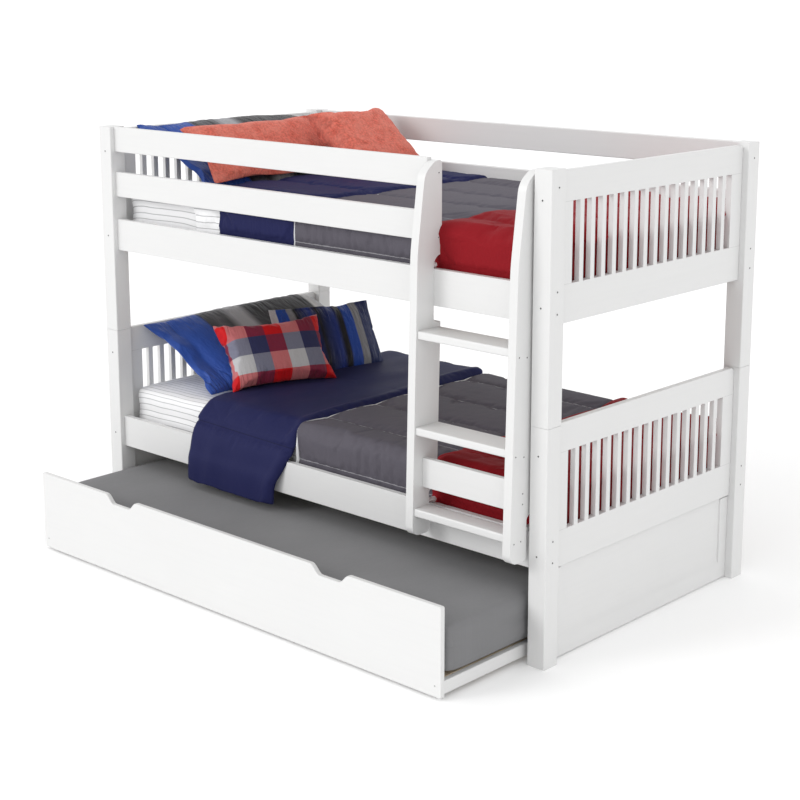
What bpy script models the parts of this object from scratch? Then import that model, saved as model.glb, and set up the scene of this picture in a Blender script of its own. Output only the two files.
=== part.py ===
"""Twin bunk bed with a ladder, a rolling trundle and its bedding.

Units are metres and +Z is up. The origin lies on the floor under the middle of the bed
with its trundle pulled out as far as it stands here. -Y is the front, where the ladder
and the trundle are, and -X is the head end, where the pillows lie.
"""
import bpy
import bmesh
from math import cos, pi, radians, sin, tan
from mathutils import Matrix, Vector
from mathutils.bvhtree import BVHTree

# Frame as a whole
bed_length = 2.035
bed_depth = 1.087
lower_post_height = 0.730
upper_post_height = 0.737
post_size = 0.064
board_thickness = 0.021
seat_gap = 0.0003
cut_overrun = 0.010

# Dowels that join the upper posts to the lower ones
dowel_radius = 0.008
dowel_length = 0.080

# Side rails and the cleats that carry the slats
rail_base = 0.295
rail_height = 0.112
rail_recess = 0.0175
cleat_lift = 0.003
cleat_height = 0.025
cleat_width = 0.022

# Slatted end panels
panel_recess = 0.0215
panel_drop = 0.0045
lower_panel_top_gap = 0.0015
upper_panel_top_gap = 0.0085
panel_bottom_rail = 0.1125
panel_top_rail = 0.0895
panel_stile = 0.062
panel_slat_count = 15
panel_slat_width = 0.0193
panel_slat_thickness = 0.017
panel_corner_radius = 0.018
relief_margin = 0.001

# Skirt panels below the lower end panels
skirt_floor_gap = 0.005
skirt_top_gap = 0.005
skirt_setback = 0.005
skirt_thickness = 0.016
skirt_bottom_rail = 0.056
skirt_stile = 0.045
skirt_field_depth = 0.005
skirt_bevel = 0.012

# Slat decks under the mattresses
deck_slat_count = 13
deck_slat_width = 0.070
deck_slat_thickness = 0.018
deck_side_gap = 0.004
deck_end_gap = 0.004
strap_width = 0.038
strap_thickness = 0.003
strap_bite = 0.001
strap_place_share = 0.27

# Guard boards of the upper bed. The low one stands between the rail and the top one
guard_height = 0.088
guard_top_gap = 0.0005
guard_low_place_share = 0.531

# Ladder. Reaches are forward of the posts' front faces, depths are behind them, drops
# are below the posts' tops, and the treads' shares are of the upper rail's height
stringer_thickness = 0.029
ladder_post_gap = 0.007
tread_length = 0.349
tread_thickness = 0.025
tread_height_shares = (0.402, 0.6488, 0.9356)
tread_setback = 0.005
cross_board_lift = 0.061
cross_board_height = 0.092
cross_board_thickness = 0.020
cross_board_reach = 0.033
stringer_foot_height = 0.324
stringer_foot_reach = 0.0768
stringer_bend_rise = 0.165
stringer_bend_reach = 0.0545
stringer_shoulder_drop = 0.042
stringer_shoulder_reach = 0.023
stringer_crest_drop = 0.011
stringer_crest_depth = 0.020
stringer_top_drop = 0.006
stringer_head_depth = 0.052
stringer_waist_depth = 0.048
stringer_step_height = 0.480
stringer_step_depth = 0.034
stringer_shin_height = 0.452
stringer_shin_reach = 0.002
notch_rise = 0.041
notch_drop = 0.050
foot_radius = 0.030
bend_radius = 0.600
shoulder_radius = 0.060
crest_radius = 0.030
notch_radius = 0.032
corner_radius = 0.012
ease_radius = 0.004
hook_pin_radius = 0.0085
hook_pin_bite = 0.014

# Trundle, pulled out by its reach from the closed place
trundle_reach = 0.362
trundle_rear_gap = 0.125
trundle_end_gap = 0.018
trundle_top_gap = 0.015
trundle_panel_base = 0.008
trundle_panel_thickness = 0.017
trundle_panel_radius = 0.006
hand_hold_offset = 0.4945
hand_hold_width = 0.162
hand_hold_slope = 0.042
hand_hold_depth = 0.029
tray_end_gap = 0.020
tray_base = 0.017
tray_height = 0.040
tray_thickness = 0.020
tray_slat_count = 11
tray_slat_width = 0.100
tray_slat_thickness = 0.012
bearer_width = 0.045
bearer_thickness = 0.012
bearer_place_shares = (0.24, 0.50, 0.76)

# Casters of the trundle
wheel_radius = 0.019
wheel_width = 0.018
wheel_bore_radius = 0.0033
wheel_shoulder = 0.003
axle_radius = 0.003
axle_overhang = 0.002
caster_plate_width = 0.044
caster_plate_thickness = 0.002
caster_depth = 0.030
caster_fork_gap = 0.002
caster_fork_drop = 0.007
caster_inset = 0.075

# Mattresses
mattress_end_gap = 0.030
mattress_side_gap = 0.029
mattress_thickness = 0.180
mattress_crown = 0.008
mattress_draw_in = 0.006
mattress_edge = 0.070
trundle_mattress_end_gap = 0.0135
trundle_mattress_thickness = 0.174
trundle_mattress_front_gap = 0.005

# Comforters
comforter_head = 0.450
comforter_thickness = 0.010
comforter_top_gap = 0.0005
comforter_side_gap = 0.003
comforter_tuck = 0.150
comforter_radius = 0.022
comforter_puff = 0.007
comforter_channel_count = 4
comforter_along_count = 10
comforter_down_count = 2
fold_end = 0.950
fold_joint_gap = 0.001
fold_along_count = 10
flap_thickness = 0.009
flap_bottom_height = 0.254
flap_reach = 0.016
flap_taper = 0.055
flap_wave = 0.007
flap_wave_count = 2.5
flap_rail_clearance = 0.003
flap_bulge = 0.020

# Pillows: width across the bed, height of the face, thickness
sham_side_gap = 0.066
sham_height = 0.438
sham_thickness = 0.105
coral_left_size = (0.640, 0.270, 0.085)
coral_right_size = (0.360, 0.332, 0.105)
plaid_size = (0.400, 0.262, 0.080)
striped_size = (0.400, 0.262, 0.078)
pillow_seam_share = 0.13
pillow_draw_in_share = 0.035
pillow_cage_share = 1.07
cage_face_share = 0.9
cage_middle_share = 0.1

# Pillows: distance of the lower edge from the head end, middle behind the bed's middle
# line, lean from lying flat, and turn seen from above
lower_sham_place = (0.437, 0.0055)
upper_sham_place = (0.437, 0.0165)
sham_lean_angle = radians(28)
coral_left_place = (0.470, -0.0785)
coral_left_lean_angle = radians(44)
coral_right_place = (0.689, 0.2545)
coral_right_lean_angle = radians(40)
plaid_place = (0.545, -0.1655)
plaid_lean_angle = radians(52)
striped_place = (0.530, 0.1115)
striped_lean_angle = radians(57)
small_pillow_turn_angle = radians(18)
pillow_hover = 0.500
settle_sample_count = 7

# Counts of facets
flat_angle = radians(0.1)
arc_step_count = 5
round_side_count = 16
wheel_side_count = 32

# Finishes: colour, roughness and metallic value
white_paint = ((0.88, 0.88, 0.87), 0.35, 0.0)
bare_wood = ((0.70, 0.55, 0.38), 0.60, 0.0)
steel = ((0.62, 0.63, 0.65), 0.30, 1.0)
grey_plastic = ((0.20, 0.20, 0.21), 0.50, 0.0)
white_sheet = ((0.86, 0.86, 0.87), 0.85, 0.0)
grey_ticking = ((0.15, 0.15, 0.155), 0.90, 0.0)
grey_quilt = ((0.085, 0.075, 0.09), 0.75, 0.0)
navy_satin = ((0.025, 0.028, 0.10), 0.45, 0.0)
coral_plush = ((0.58, 0.14, 0.09), 0.90, 0.0)
blue_stripe = ((0.03, 0.07, 0.32), 0.50, 0.0)
red_plaid = ((0.33, 0.03, 0.04), 0.80, 0.0)

# Places worked out from the sizes above
half_length = bed_length / 2
post_top = lower_post_height + upper_post_height
front_face = (trundle_reach - bed_depth) / 2
rear_face = front_face + bed_depth
post_inner_x = half_length - post_size
post_inner_front = front_face + post_size
post_inner_rear = rear_face - post_size
rail_front_inner = front_face + rail_recess + board_thickness
rail_rear_inner = rear_face - rail_recess - board_thickness
upper_rail_base = lower_post_height + rail_base
upper_rail_top = upper_rail_base + rail_height
guard_top_base = post_top - guard_top_gap - guard_height
guard_run = guard_top_base - guard_height - upper_rail_top
guard_low_base = upper_rail_top + guard_low_place_share * guard_run
deck_top_rise = rail_base + cleat_lift + cleat_height + seat_gap + deck_slat_thickness
panel_inner_x = half_length - panel_recess - board_thickness
bed_middle_y = (front_face + rear_face) / 2
tiers = {"lower": 0.0, "upper": lower_post_height}
panel_tops = {
    "lower": lower_post_height - lower_panel_top_gap,
    "upper": post_top - upper_panel_top_gap,
}
sides = {"left": -1, "right": 1}

trundle_depth = bed_depth - trundle_rear_gap
trundle_panel_length = 2 * (post_inner_x - trundle_end_gap)
trundle_panel_height = rail_base - trundle_top_gap - trundle_panel_base
tray_length = 2 * (post_inner_x - tray_end_gap)
tray_front = front_face - trundle_reach
tray_rear = tray_front + trundle_depth
panel_back = tray_front + trundle_panel_thickness
tray_top = tray_base + tray_height
ladder_right_x = post_inner_x - ladder_post_gap
ladder_left_x = ladder_right_x - 2 * stringer_thickness - tread_length - 2 * seat_gap
tread_heights = [share * upper_rail_base for share in tread_height_shares]
cross_board_base = tread_heights[0] + cross_board_lift
stringer_bend_height = upper_rail_base + stringer_bend_rise
stringer_shoulder_height = post_top - stringer_shoulder_drop
stringer_crest_height = post_top - stringer_crest_drop
stringer_top_height = post_top - stringer_top_drop

mattress_length = 2 * (panel_inner_x - mattress_end_gap)
mattress_width = rail_rear_inner - rail_front_inner - 2 * mattress_side_gap
trundle_mattress_length = 2 * (post_inner_x - trundle_mattress_end_gap)
trundle_mattress_width = tray_rear - panel_back - trundle_mattress_front_gap
sham_size = (mattress_width - 2 * sham_side_gap, sham_height, sham_thickness)


def new_collection(name):
    """A collection linked to the scene."""
    collection = bpy.data.collections.new(name)
    bpy.context.scene.collection.children.link(collection)
    return collection


def add_object(name, mesh, finish):
    """An object of the bed, in its collection and with its own material."""
    obj = bpy.data.objects.new(name, mesh)
    bed_parts.objects.link(obj)
    colour, roughness, metallic = finish
    material = bpy.data.materials.new(name)
    material.use_nodes = True
    shader = material.node_tree.nodes["Principled BSDF"]
    shader.inputs["Base Color"].default_value = (*colour, 1.0)
    shader.inputs["Roughness"].default_value = roughness
    shader.inputs["Metallic"].default_value = metallic
    mesh.materials.append(material)
    return obj


def mesh_from(bm, name):
    """A mesh datablock from a closed bmesh, with its faces pointing out."""
    bmesh.ops.recalc_face_normals(bm, faces=bm.faces)
    mesh = bpy.data.meshes.new(name)
    bm.to_mesh(mesh)
    bm.free()
    return mesh


def box_mesh(name, size):
    """A box around its own middle."""
    bm = bmesh.new()
    bmesh.ops.create_cube(bm, size=1)
    bmesh.ops.scale(bm, vec=size, verts=bm.verts)
    return mesh_from(bm, name)


def box(name, finish, low, high):
    """A box between two corners, placed at its middle."""
    low = Vector(low)
    high = Vector(high)
    obj = add_object(name, box_mesh(name, high - low), finish)
    obj.location = (low + high) / 2
    return obj


def as_cutter(obj):
    """Moves an object to the cutters, which aren't part of the bed."""
    bed_parts.objects.unlink(obj)
    cutters.objects.link(obj)
    obj.display_type = "WIRE"
    obj.hide_render = True
    return obj


def boolean(obj, other, operation):
    """Cuts another object out of this one or joins it on."""
    as_cutter(other)
    modifier = obj.modifiers.new(operation.title(), "BOOLEAN")
    modifier.operation = operation
    modifier.solver = "EXACT"
    modifier.object = other


def rounded_outline(corners):
    """Points of a closed outline whose corners (a, b, radius) are turned by arcs."""
    points = []
    for index, (a, b, radius) in enumerate(corners):
        corner = Vector((a, b))
        before = Vector(corners[index - 1][:2]) - corner
        after = Vector(corners[(index + 1) % len(corners)][:2]) - corner
        if radius == 0:
            points.append(tuple(corner))
            continue
        half_angle = before.angle(after) / 2
        run = radius / tan(half_angle)
        middle_line = (before.normalized() + after.normalized()).normalized()
        centre = corner + middle_line * (radius / sin(half_angle))
        start = corner + before.normalized() * run - centre
        end = corner + after.normalized() * run - centre
        sweep = start.angle_signed(end)
        for step in range(arc_step_count + 1):
            turned = Matrix.Rotation(-sweep * step / arc_step_count, 2) @ start
            points.append(tuple(centre + turned))
    return points


def prism(name, finish, outlines, axis, low, high):
    """Closed outlines filled and drawn out along X, as (Y, Z) points, or Y, as (X, Z)."""
    curve = bpy.data.curves.new(name, "CURVE")
    curve.dimensions = "2D"
    curve.fill_mode = "BOTH"
    curve.extrude = (high - low) / 2
    for outline in outlines:
        spline = curve.splines.new("POLY")
        spline.points.add(len(outline) - 1)
        spline.use_cyclic_u = True
        for point, (a, b) in zip(spline.points, outline):
            point.co = (a, b, 0, 1)
    drawn = bpy.data.objects.new(name, curve)
    bed_parts.objects.link(drawn)
    middle = (low + high) / 2
    if axis == "X":
        columns = ((0, 1, 0), (0, 0, 1), (1, 0, 0))
        drawn.location = (middle, 0, 0)
    else:
        columns = ((1, 0, 0), (0, 0, 1), (0, -1, 0))
        drawn.location = (0, middle, 0)
    drawn.rotation_euler = Matrix(columns).transposed().to_euler()
    bpy.context.view_layer.update()
    evaluated = drawn.evaluated_get(bpy.context.evaluated_depsgraph_get())
    flat = bpy.data.meshes.new_from_object(evaluated)
    bm = bmesh.new()
    bm.from_mesh(flat)
    bmesh.ops.remove_doubles(bm, verts=bm.verts, dist=seat_gap / 10)
    bmesh.ops.dissolve_limit(bm, angle_limit=flat_angle, verts=bm.verts, edges=bm.edges)
    place = drawn.matrix_world.copy()
    bpy.data.objects.remove(drawn)
    bpy.data.meshes.remove(flat)
    obj = add_object(name, mesh_from(bm, name), finish)
    obj.matrix_world = place
    return obj


def cylinder(name, finish, axis, centre, radius, length, sides_around=round_side_count):
    """A round rod along an axis, around its middle."""
    bm = bmesh.new()
    bmesh.ops.create_cone(
        bm,
        cap_ends=True,
        segments=sides_around,
        radius1=radius,
        radius2=radius,
        depth=length,
    )
    mesh = mesh_from(bm, name)
    smooth(mesh)
    obj = add_object(name, mesh, finish)
    turn = Vector((0, 0, 1)).rotation_difference(Vector(axis))
    obj.matrix_world = Matrix.Translation(centre) @ turn.to_matrix().to_4x4()
    return obj


def smooth(mesh):
    """Smooth shading with sharp edges kept sharp."""
    mesh.shade_smooth()
    mesh.set_sharp_from_angle(angle=radians(40))


def add_posts():
    """Lower and upper posts, bored for the dowels between them."""
    bore_radius = dowel_radius + seat_gap
    bore_depth = dowel_length / 2 + seat_gap
    corners = {
        "front": front_face + post_size / 2,
        "rear": rear_face - post_size / 2,
    }
    for side, sign in sides.items():
        x = sign * (half_length - post_size / 2)
        for depth, y in corners.items():
            low = Vector((x - post_size / 2, y - post_size / 2, 0))
            seam = lower_post_height
            lower = box(
                f"lower_post_{depth}_{side}",
                white_paint,
                low,
                low + Vector((post_size, post_size, seam - seat_gap)),
            )
            upper = box(
                f"upper_post_{depth}_{side}",
                white_paint,
                low + Vector((0, 0, seam)),
                low + Vector((post_size, post_size, post_top)),
            )
            for post in (lower, upper):
                bore = cylinder(
                    f"{post.name}_bore",
                    bare_wood,
                    (0, 0, 1),
                    (x, y, seam),
                    bore_radius,
                    2 * bore_depth,
                )
                boolean(post, bore, "DIFFERENCE")
            cylinder(
                f"post_dowel_{depth}_{side}",
                bare_wood,
                (0, 0, 1),
                (x, y, seam),
                dowel_radius,
                dowel_length,
            )


def add_end_panels():
    """Slatted head and foot panels of both beds."""
    low_y = post_inner_front + seat_gap
    high_y = post_inner_rear - seat_gap
    slotted = high_y - low_y - 2 * panel_stile
    slot_width = (slotted - panel_slat_count * panel_slat_width) / (panel_slat_count + 1)
    for tier, rise in tiers.items():
        base = rise + rail_base - panel_drop
        top = panel_tops[tier]
        slot_low = base + panel_bottom_rail
        slot_high = top - panel_top_rail
        outline = rounded_outline(
            (
                (low_y, base, 0),
                (high_y, base, 0),
                (high_y, top, panel_corner_radius),
                (low_y, top, panel_corner_radius),
            )
        )
        for side, sign in sides.items():
            inner = sign * panel_inner_x
            outer = sign * (half_length - panel_recess)
            low_x, high_x = sorted((inner, outer))
            name = f"{tier}_end_panel_{side}"
            panel = prism(name, white_paint, [outline], "X", low_x, high_x)
            slots = []
            for index in range(panel_slat_count + 1):
                start = low_y + panel_stile + index * (slot_width + panel_slat_width)
                slots.append(
                    (
                        (low_x - cut_overrun, start, slot_low),
                        (high_x + cut_overrun, start + slot_width, slot_high),
                    )
                )
            boolean(panel, joined_boxes(f"{name}_slots", white_paint, slots), "DIFFERENCE")
            relief = board_thickness - panel_slat_thickness
            relief_x = sorted((inner - sign * cut_overrun, inner + sign * relief))
            hollow = box(
                f"{name}_relief",
                white_paint,
                (relief_x[0], low_y + panel_stile + relief_margin, slot_low + relief_margin),
                (relief_x[1], high_y - panel_stile - relief_margin, slot_high - relief_margin),
            )
            boolean(panel, hollow, "DIFFERENCE")


def add_skirt_panels():
    """Frame-and-field panels that close the ends below the lower bed."""
    base = skirt_floor_gap
    top = rail_base - panel_drop - skirt_top_gap
    for side, sign in sides.items():
        outer = sign * (half_length - panel_recess - skirt_setback)
        inner = outer - sign * skirt_thickness
        name = f"skirt_panel_{side}"
        panel = box(
            name,
            white_paint,
            (min(outer, inner), post_inner_front + seat_gap, base),
            (max(outer, inner), post_inner_rear - seat_gap, top),
        )
        floor_of_field = outer - sign * skirt_field_depth
        beyond = outer + sign * cut_overrun
        rail_top = base + skirt_bottom_rail
        outline = (
            (floor_of_field, rail_top + skirt_bevel),
            (beyond, rail_top - skirt_bevel * cut_overrun / skirt_field_depth),
            (beyond, top + cut_overrun),
            (floor_of_field, top + cut_overrun),
        )
        field = prism(
            f"{name}_field",
            white_paint,
            [outline],
            "Y",
            post_inner_front + skirt_stile,
            post_inner_rear - skirt_stile,
        )
        boolean(panel, field, "DIFFERENCE")


def add_side_rails():
    """Front and rear rails of both beds, each with its slat cleat."""
    end = post_inner_x - seat_gap
    faces = {
        "front": (front_face + rail_recess, 1),
        "rear": (rear_face - rail_recess, -1),
    }
    for tier, rise in tiers.items():
        base = rise + rail_base
        for depth, (outer, inward) in faces.items():
            inner = outer + inward * board_thickness
            cleat = inner + inward * cleat_width
            outline = (
                (outer, base),
                (inner, base),
                (inner, base + cleat_lift),
                (cleat, base + cleat_lift),
                (cleat, base + cleat_lift + cleat_height),
                (inner, base + cleat_lift + cleat_height),
                (inner, base + rail_height),
                (outer, base + rail_height),
            )
            prism(f"{tier}_side_rail_{depth}", white_paint, [outline], "X", -end, end)


def joined_boxes(name, finish, boxes):
    """Boxes as one object, still separate bodies until a union joins them."""
    bm = bmesh.new()
    for low, high in boxes:
        made = bmesh.ops.create_cube(bm, size=1)["verts"]
        low = Vector(low)
        high = Vector(high)
        bmesh.ops.scale(bm, vec=high - low, verts=made)
        bmesh.ops.translate(bm, vec=(low + high) / 2, verts=made)
    return add_object(name, mesh_from(bm, name), finish)


def spread(count, width, low, high):
    """Low and high ends of pieces spread evenly between two ends."""
    step = (high - low - width) / (count - 1)
    return [(low + index * step, low + index * step + width) for index in range(count)]


def add_slat_decks():
    """Slats on two webbing straps, laid on the cleats."""
    low_y = rail_front_inner + deck_side_gap
    high_y = rail_rear_inner - deck_side_gap
    end = post_inner_x - deck_end_gap
    for tier, rise in tiers.items():
        top = rise + deck_top_rise
        bottom = top - deck_slat_thickness
        slats = []
        for start, stop in spread(deck_slat_count, deck_slat_width, -end, end):
            slats.append(((start, low_y, bottom), (stop, high_y, top)))
        deck = joined_boxes(f"{tier}_slat_deck", bare_wood, slats)
        straps = []
        for share in (strap_place_share, 1 - strap_place_share):
            y = low_y + share * (high_y - low_y)
            straps.append(
                (
                    (-end, y - strap_width / 2, bottom + strap_bite - strap_thickness),
                    (end, y + strap_width / 2, bottom + strap_bite),
                )
            )
        boolean(deck, joined_boxes(f"{tier}_straps", bare_wood, straps), "UNION")


def add_guard_boards():
    """Two boards in front, beside the ladder, and two across the rear."""
    post_end = post_inner_x - seat_gap
    front_outer = front_face + rail_recess
    rear_outer = rear_face - rail_recess
    for level, base in (("top", guard_top_base), ("low", guard_low_base)):
        box(
            f"guard_{level}_front",
            white_paint,
            (-post_end, front_outer, base),
            (ladder_left_x - seat_gap, front_outer + board_thickness, base + guard_height),
        )
        box(
            f"guard_{level}_rear",
            white_paint,
            (-post_end, rear_outer - board_thickness, base),
            (post_end, rear_outer, base + guard_height),
        )


def between(height, low_height, high_height, low_value, high_value):
    """A value at a height on the straight line between two others."""
    share = (height - low_height) / (high_height - low_height)
    return low_value + share * (high_value - low_value)


def stringer_front(height):
    """Y of a stringer's front edge below its bend."""
    reach = between(
        height,
        stringer_foot_height,
        stringer_bend_height,
        stringer_foot_reach,
        stringer_bend_reach,
    )
    return front_face - reach


def stringer_back(height):
    """Y of a stringer's back edge below the upper rail's notch."""
    if height < stringer_shin_height:
        return front_face - stringer_shin_reach
    depth = between(
        height,
        stringer_step_height,
        upper_rail_base - notch_drop,
        stringer_step_depth,
        stringer_waist_depth,
    )
    return front_face + depth


def stringer_corners():
    """Corners (Y, Z, radius) of a stringer, from the foot up its front edge."""
    rail_face = rail_recess - seat_gap
    notch_top = upper_rail_top + notch_rise
    notch_bottom = upper_rail_base - notch_drop
    corners = (
        (-stringer_foot_reach, stringer_foot_height, foot_radius),
        (-stringer_bend_reach, stringer_bend_height, bend_radius),
        (-stringer_shoulder_reach, stringer_shoulder_height, shoulder_radius),
        (stringer_crest_depth, stringer_crest_height, crest_radius),
        (stringer_head_depth, stringer_top_height, corner_radius),
        (stringer_head_depth, notch_top, ease_radius),
        (rail_face, notch_top, notch_radius),
        (rail_face, notch_bottom, corner_radius),
        (stringer_waist_depth, notch_bottom, ease_radius),
        (stringer_step_depth, stringer_step_height, ease_radius),
        (-stringer_shin_reach, stringer_shin_height, corner_radius),
        (-stringer_shin_reach, stringer_foot_height, corner_radius),
    )
    return [(front_face + depth, height, radius) for depth, height, radius in corners]


def add_ladder():
    """Two stringers hooked on the rails by steel pins, three treads and a board."""
    outline = rounded_outline(stringer_corners())
    lower_rail_top = rail_base + rail_height
    pin_backs = {
        "upper": (upper_rail_top, front_face + rail_recess - seat_gap),
        "lower": (lower_rail_top, front_face - stringer_shin_reach),
    }
    pin_end = rail_front_inner
    starts = {
        "left": ladder_left_x,
        "right": ladder_right_x - stringer_thickness,
    }
    for side, start in starts.items():
        name = f"ladder_stringer_{side}"
        end = start + stringer_thickness
        stringer = prism(name, white_paint, [outline], "X", start, end)
        for level, (rail_top, back) in pin_backs.items():
            length = pin_end - back + hook_pin_bite
            pin = cylinder(
                f"{name}_{level}_pin",
                steel,
                (0, 1, 0),
                ((start + end) / 2, pin_end - length / 2, rail_top + seat_gap + hook_pin_radius),
                hook_pin_radius,
                length,
            )
            boolean(stringer, pin, "UNION")
    low_x = ladder_left_x + stringer_thickness + seat_gap
    high_x = low_x + tread_length
    for number, top in enumerate(tread_heights, start=1):
        box(
            f"ladder_tread_{number}",
            white_paint,
            (low_x, stringer_front(top) + tread_setback, top - tread_thickness),
            (high_x, stringer_back(top - tread_thickness), top),
        )
    board_front = front_face - cross_board_reach
    box(
        "ladder_cross_board",
        white_paint,
        (low_x, board_front, cross_board_base),
        (high_x, board_front + cross_board_thickness, cross_board_base + cross_board_height),
    )


def s_curve(share):
    """A smooth rise from 0 to 1."""
    return (1 - cos(pi * share)) / 2


def trundle_outline():
    """Front panel of the trundle with two hand-holds in its top edge."""
    half = trundle_panel_length / 2
    top = trundle_panel_base + trundle_panel_height
    corners = rounded_outline(
        (
            (-half, trundle_panel_base, trundle_panel_radius),
            (half, trundle_panel_base, trundle_panel_radius),
            (half, top, trundle_panel_radius),
            (-half, top, trundle_panel_radius),
        )
    )
    per_corner = arc_step_count + 1
    shares = [step / (arc_step_count + 1) for step in range(arc_step_count + 2)]
    holds = []
    for middle in (hand_hold_offset, -hand_hold_offset):
        right = middle + hand_hold_width / 2
        left = middle - hand_hold_width / 2
        for share in shares:
            holds.append((right - share * hand_hold_slope, top - s_curve(share) * hand_hold_depth))
        for share in shares:
            rise = (1 - s_curve(share)) * hand_hold_depth
            holds.append((left + (1 - share) * hand_hold_slope, top - rise))
    return corners[: 3 * per_corner] + holds + corners[3 * per_corner :]


def add_trundle():
    """Rolling tray: front panel, rails, slats and four casters."""
    slide = bpy.data.objects.new("trundle_slide", None)
    bed_parts.objects.link(slide)
    slide.location = (0, tray_front, 0)
    pieces = [
        prism(
            "trundle_front",
            white_paint,
            [trundle_outline()],
            "Y",
            tray_front,
            panel_back,
        )
    ]
    side_outer = tray_length / 2
    side_inner = side_outer - tray_thickness
    rear_inner = tray_rear - tray_thickness
    for side, sign in sides.items():
        pieces.append(
            box(
                f"trundle_side_rail_{side}",
                white_paint,
                (min(sign * side_inner, sign * side_outer), panel_back + seat_gap, tray_base),
                (max(sign * side_inner, sign * side_outer), tray_rear, tray_top),
            )
        )
    pieces.append(
        box(
            "trundle_rear_rail",
            white_paint,
            (-side_inner + seat_gap, rear_inner, tray_base),
            (side_inner - seat_gap, tray_rear, tray_top),
        )
    )
    pieces.append(add_tray_deck(side_inner - seat_gap, rear_inner - seat_gap))
    pieces.extend(add_casters(side_inner - seat_gap))
    bpy.context.view_layer.update()
    for piece in pieces:
        place = piece.matrix_world.copy()
        piece.parent = slide
        piece.matrix_world = place


def add_tray_deck(end, rear):
    """Slats of the tray on three long bearers."""
    front = panel_back + seat_gap
    bottom = tray_top - tray_slat_thickness
    slats = []
    for start, stop in spread(tray_slat_count, tray_slat_width, -end, end):
        slats.append(((start, front, bottom), (stop, rear, tray_top)))
    deck = joined_boxes("trundle_slat_deck", bare_wood, slats)
    bearers = []
    for share in bearer_place_shares:
        y = front + share * (rear - front)
        bearers.append(
            (
                (-end, y - bearer_width / 2, bottom - bearer_thickness),
                (end, y + bearer_width / 2, bottom + strap_bite),
            )
        )
    boolean(deck, joined_boxes("trundle_bearers", bare_wood, bearers), "UNION")
    return deck


def add_casters(deck_end):
    """Fixed forks under the outer slats, each with its axle and wheel."""
    plate_top = tray_top - tray_slat_thickness - seat_gap
    fork_inner = wheel_width / 2 + caster_fork_gap
    fork_outer = fork_inner + caster_plate_thickness
    half_plate = caster_plate_width / 2
    fork_low = wheel_radius - caster_fork_drop
    plate_low = plate_top - caster_plate_thickness
    fork_top = plate_top - caster_plate_thickness / 2
    rows = {
        "front": tray_front + caster_inset,
        "rear": tray_rear - caster_inset,
    }
    pieces = []
    for side, sign in sides.items():
        x = sign * (deck_end - tray_slat_width / 2)
        for depth, y in rows.items():
            place = f"{depth}_{side}"
            low_y = y - caster_depth / 2
            high_y = y + caster_depth / 2
            bracket = box(
                f"caster_bracket_{place}",
                steel,
                (x - half_plate, low_y, plate_low),
                (x + half_plate, high_y, plate_top),
            )
            leg_low_y = low_y + caster_plate_thickness
            leg_high_y = high_y - caster_plate_thickness
            legs = [
                ((x - fork_outer, leg_low_y, fork_low), (x - fork_inner, leg_high_y, fork_top)),
                ((x + fork_inner, leg_low_y, fork_low), (x + fork_outer, leg_high_y, fork_top)),
            ]
            fork = joined_boxes(f"caster_fork_{place}", steel, legs)
            boolean(bracket, fork, "UNION")
            axle = cylinder(
                f"caster_axle_{place}",
                steel,
                (1, 0, 0),
                (x, y, wheel_radius),
                axle_radius,
                2 * (fork_outer + axle_overhang),
            )
            boolean(bracket, axle, "UNION")
            pieces.append(bracket)
            pieces.append(add_wheel(f"caster_wheel_{place}", (x, y, wheel_radius)))
    return pieces


def add_wheel(name, centre):
    """A turned wheel with a bore, its origin on the axle."""
    half = wheel_width / 2
    rim = wheel_radius - wheel_shoulder
    profile = (
        (wheel_bore_radius, half),
        (rim, half),
        (wheel_radius, half - wheel_shoulder),
        (wheel_radius, wheel_shoulder - half),
        (rim, -half),
        (wheel_bore_radius, -half),
    )
    bm = bmesh.new()
    verts = [bm.verts.new((radius, 0, height)) for radius, height in profile]
    for index, vert in enumerate(verts):
        bm.edges.new((vert, verts[(index + 1) % len(verts)]))
    mesh = bpy.data.meshes.new(name)
    bm.to_mesh(mesh)
    bm.free()
    wheel = add_object(name, mesh, grey_plastic)
    turn = wheel.modifiers.new("Turn", "SCREW")
    turn.steps = wheel_side_count
    turn.render_steps = wheel_side_count
    turn.use_merge_vertices = True
    turn.merge_threshold = seat_gap / 10
    turn.use_smooth_shade = True
    to_axle = Matrix.Rotation(pi / 2, 4, "Y")
    wheel.matrix_world = Matrix.Translation(centre) @ to_axle
    return wheel


def caged(name, finish, shape, cuts):
    """A soft body: a cube's cage, placed point by point by a shape, then subdivided."""
    bm = bmesh.new()
    bmesh.ops.create_cube(bm, size=2)
    bmesh.ops.subdivide_edges(bm, edges=bm.edges, cuts=cuts, use_grid_fill=True)
    for vert in bm.verts:
        vert.co = shape(vert.co)
    mesh = mesh_from(bm, name)
    mesh.shade_smooth()
    obj = add_object(name, mesh, finish)
    surface = obj.modifiers.new("Soft surface", "SUBSURF")
    surface.levels = 1
    surface.render_levels = 1
    return obj


def mattress(name, finish, middle, size):
    """A mattress with a crowned top, drawn-in sides and a flat underside."""
    half = size / 2

    def along(value, half_size):
        """Cage loops at the ends, one edge width in from them, and in the middle."""
        loop = round(2 * value)
        if abs(loop) == 1:
            return loop * (half_size - mattress_edge)
        return loop / 2 * half_size

    def shape(point):
        x = along(point.x, half.x)
        y = along(point.y, half.y)
        z = along(point.z, half.z)
        at_side = max(abs(point.x), abs(point.y)) > cage_face_share
        if at_side and abs(point.z) < cage_middle_share:
            x *= 1 - mattress_draw_in / half.x
            y *= 1 - mattress_draw_in / half.y
        if point.z > cage_face_share:
            fall = (abs(x) / half.x) ** 2 + (abs(y) / half.y) ** 2
            z -= mattress_crown * fall / 2
        return Vector((x, y, z))

    obj = caged(name, finish, shape, 3)
    obj.location = middle
    return obj


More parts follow.
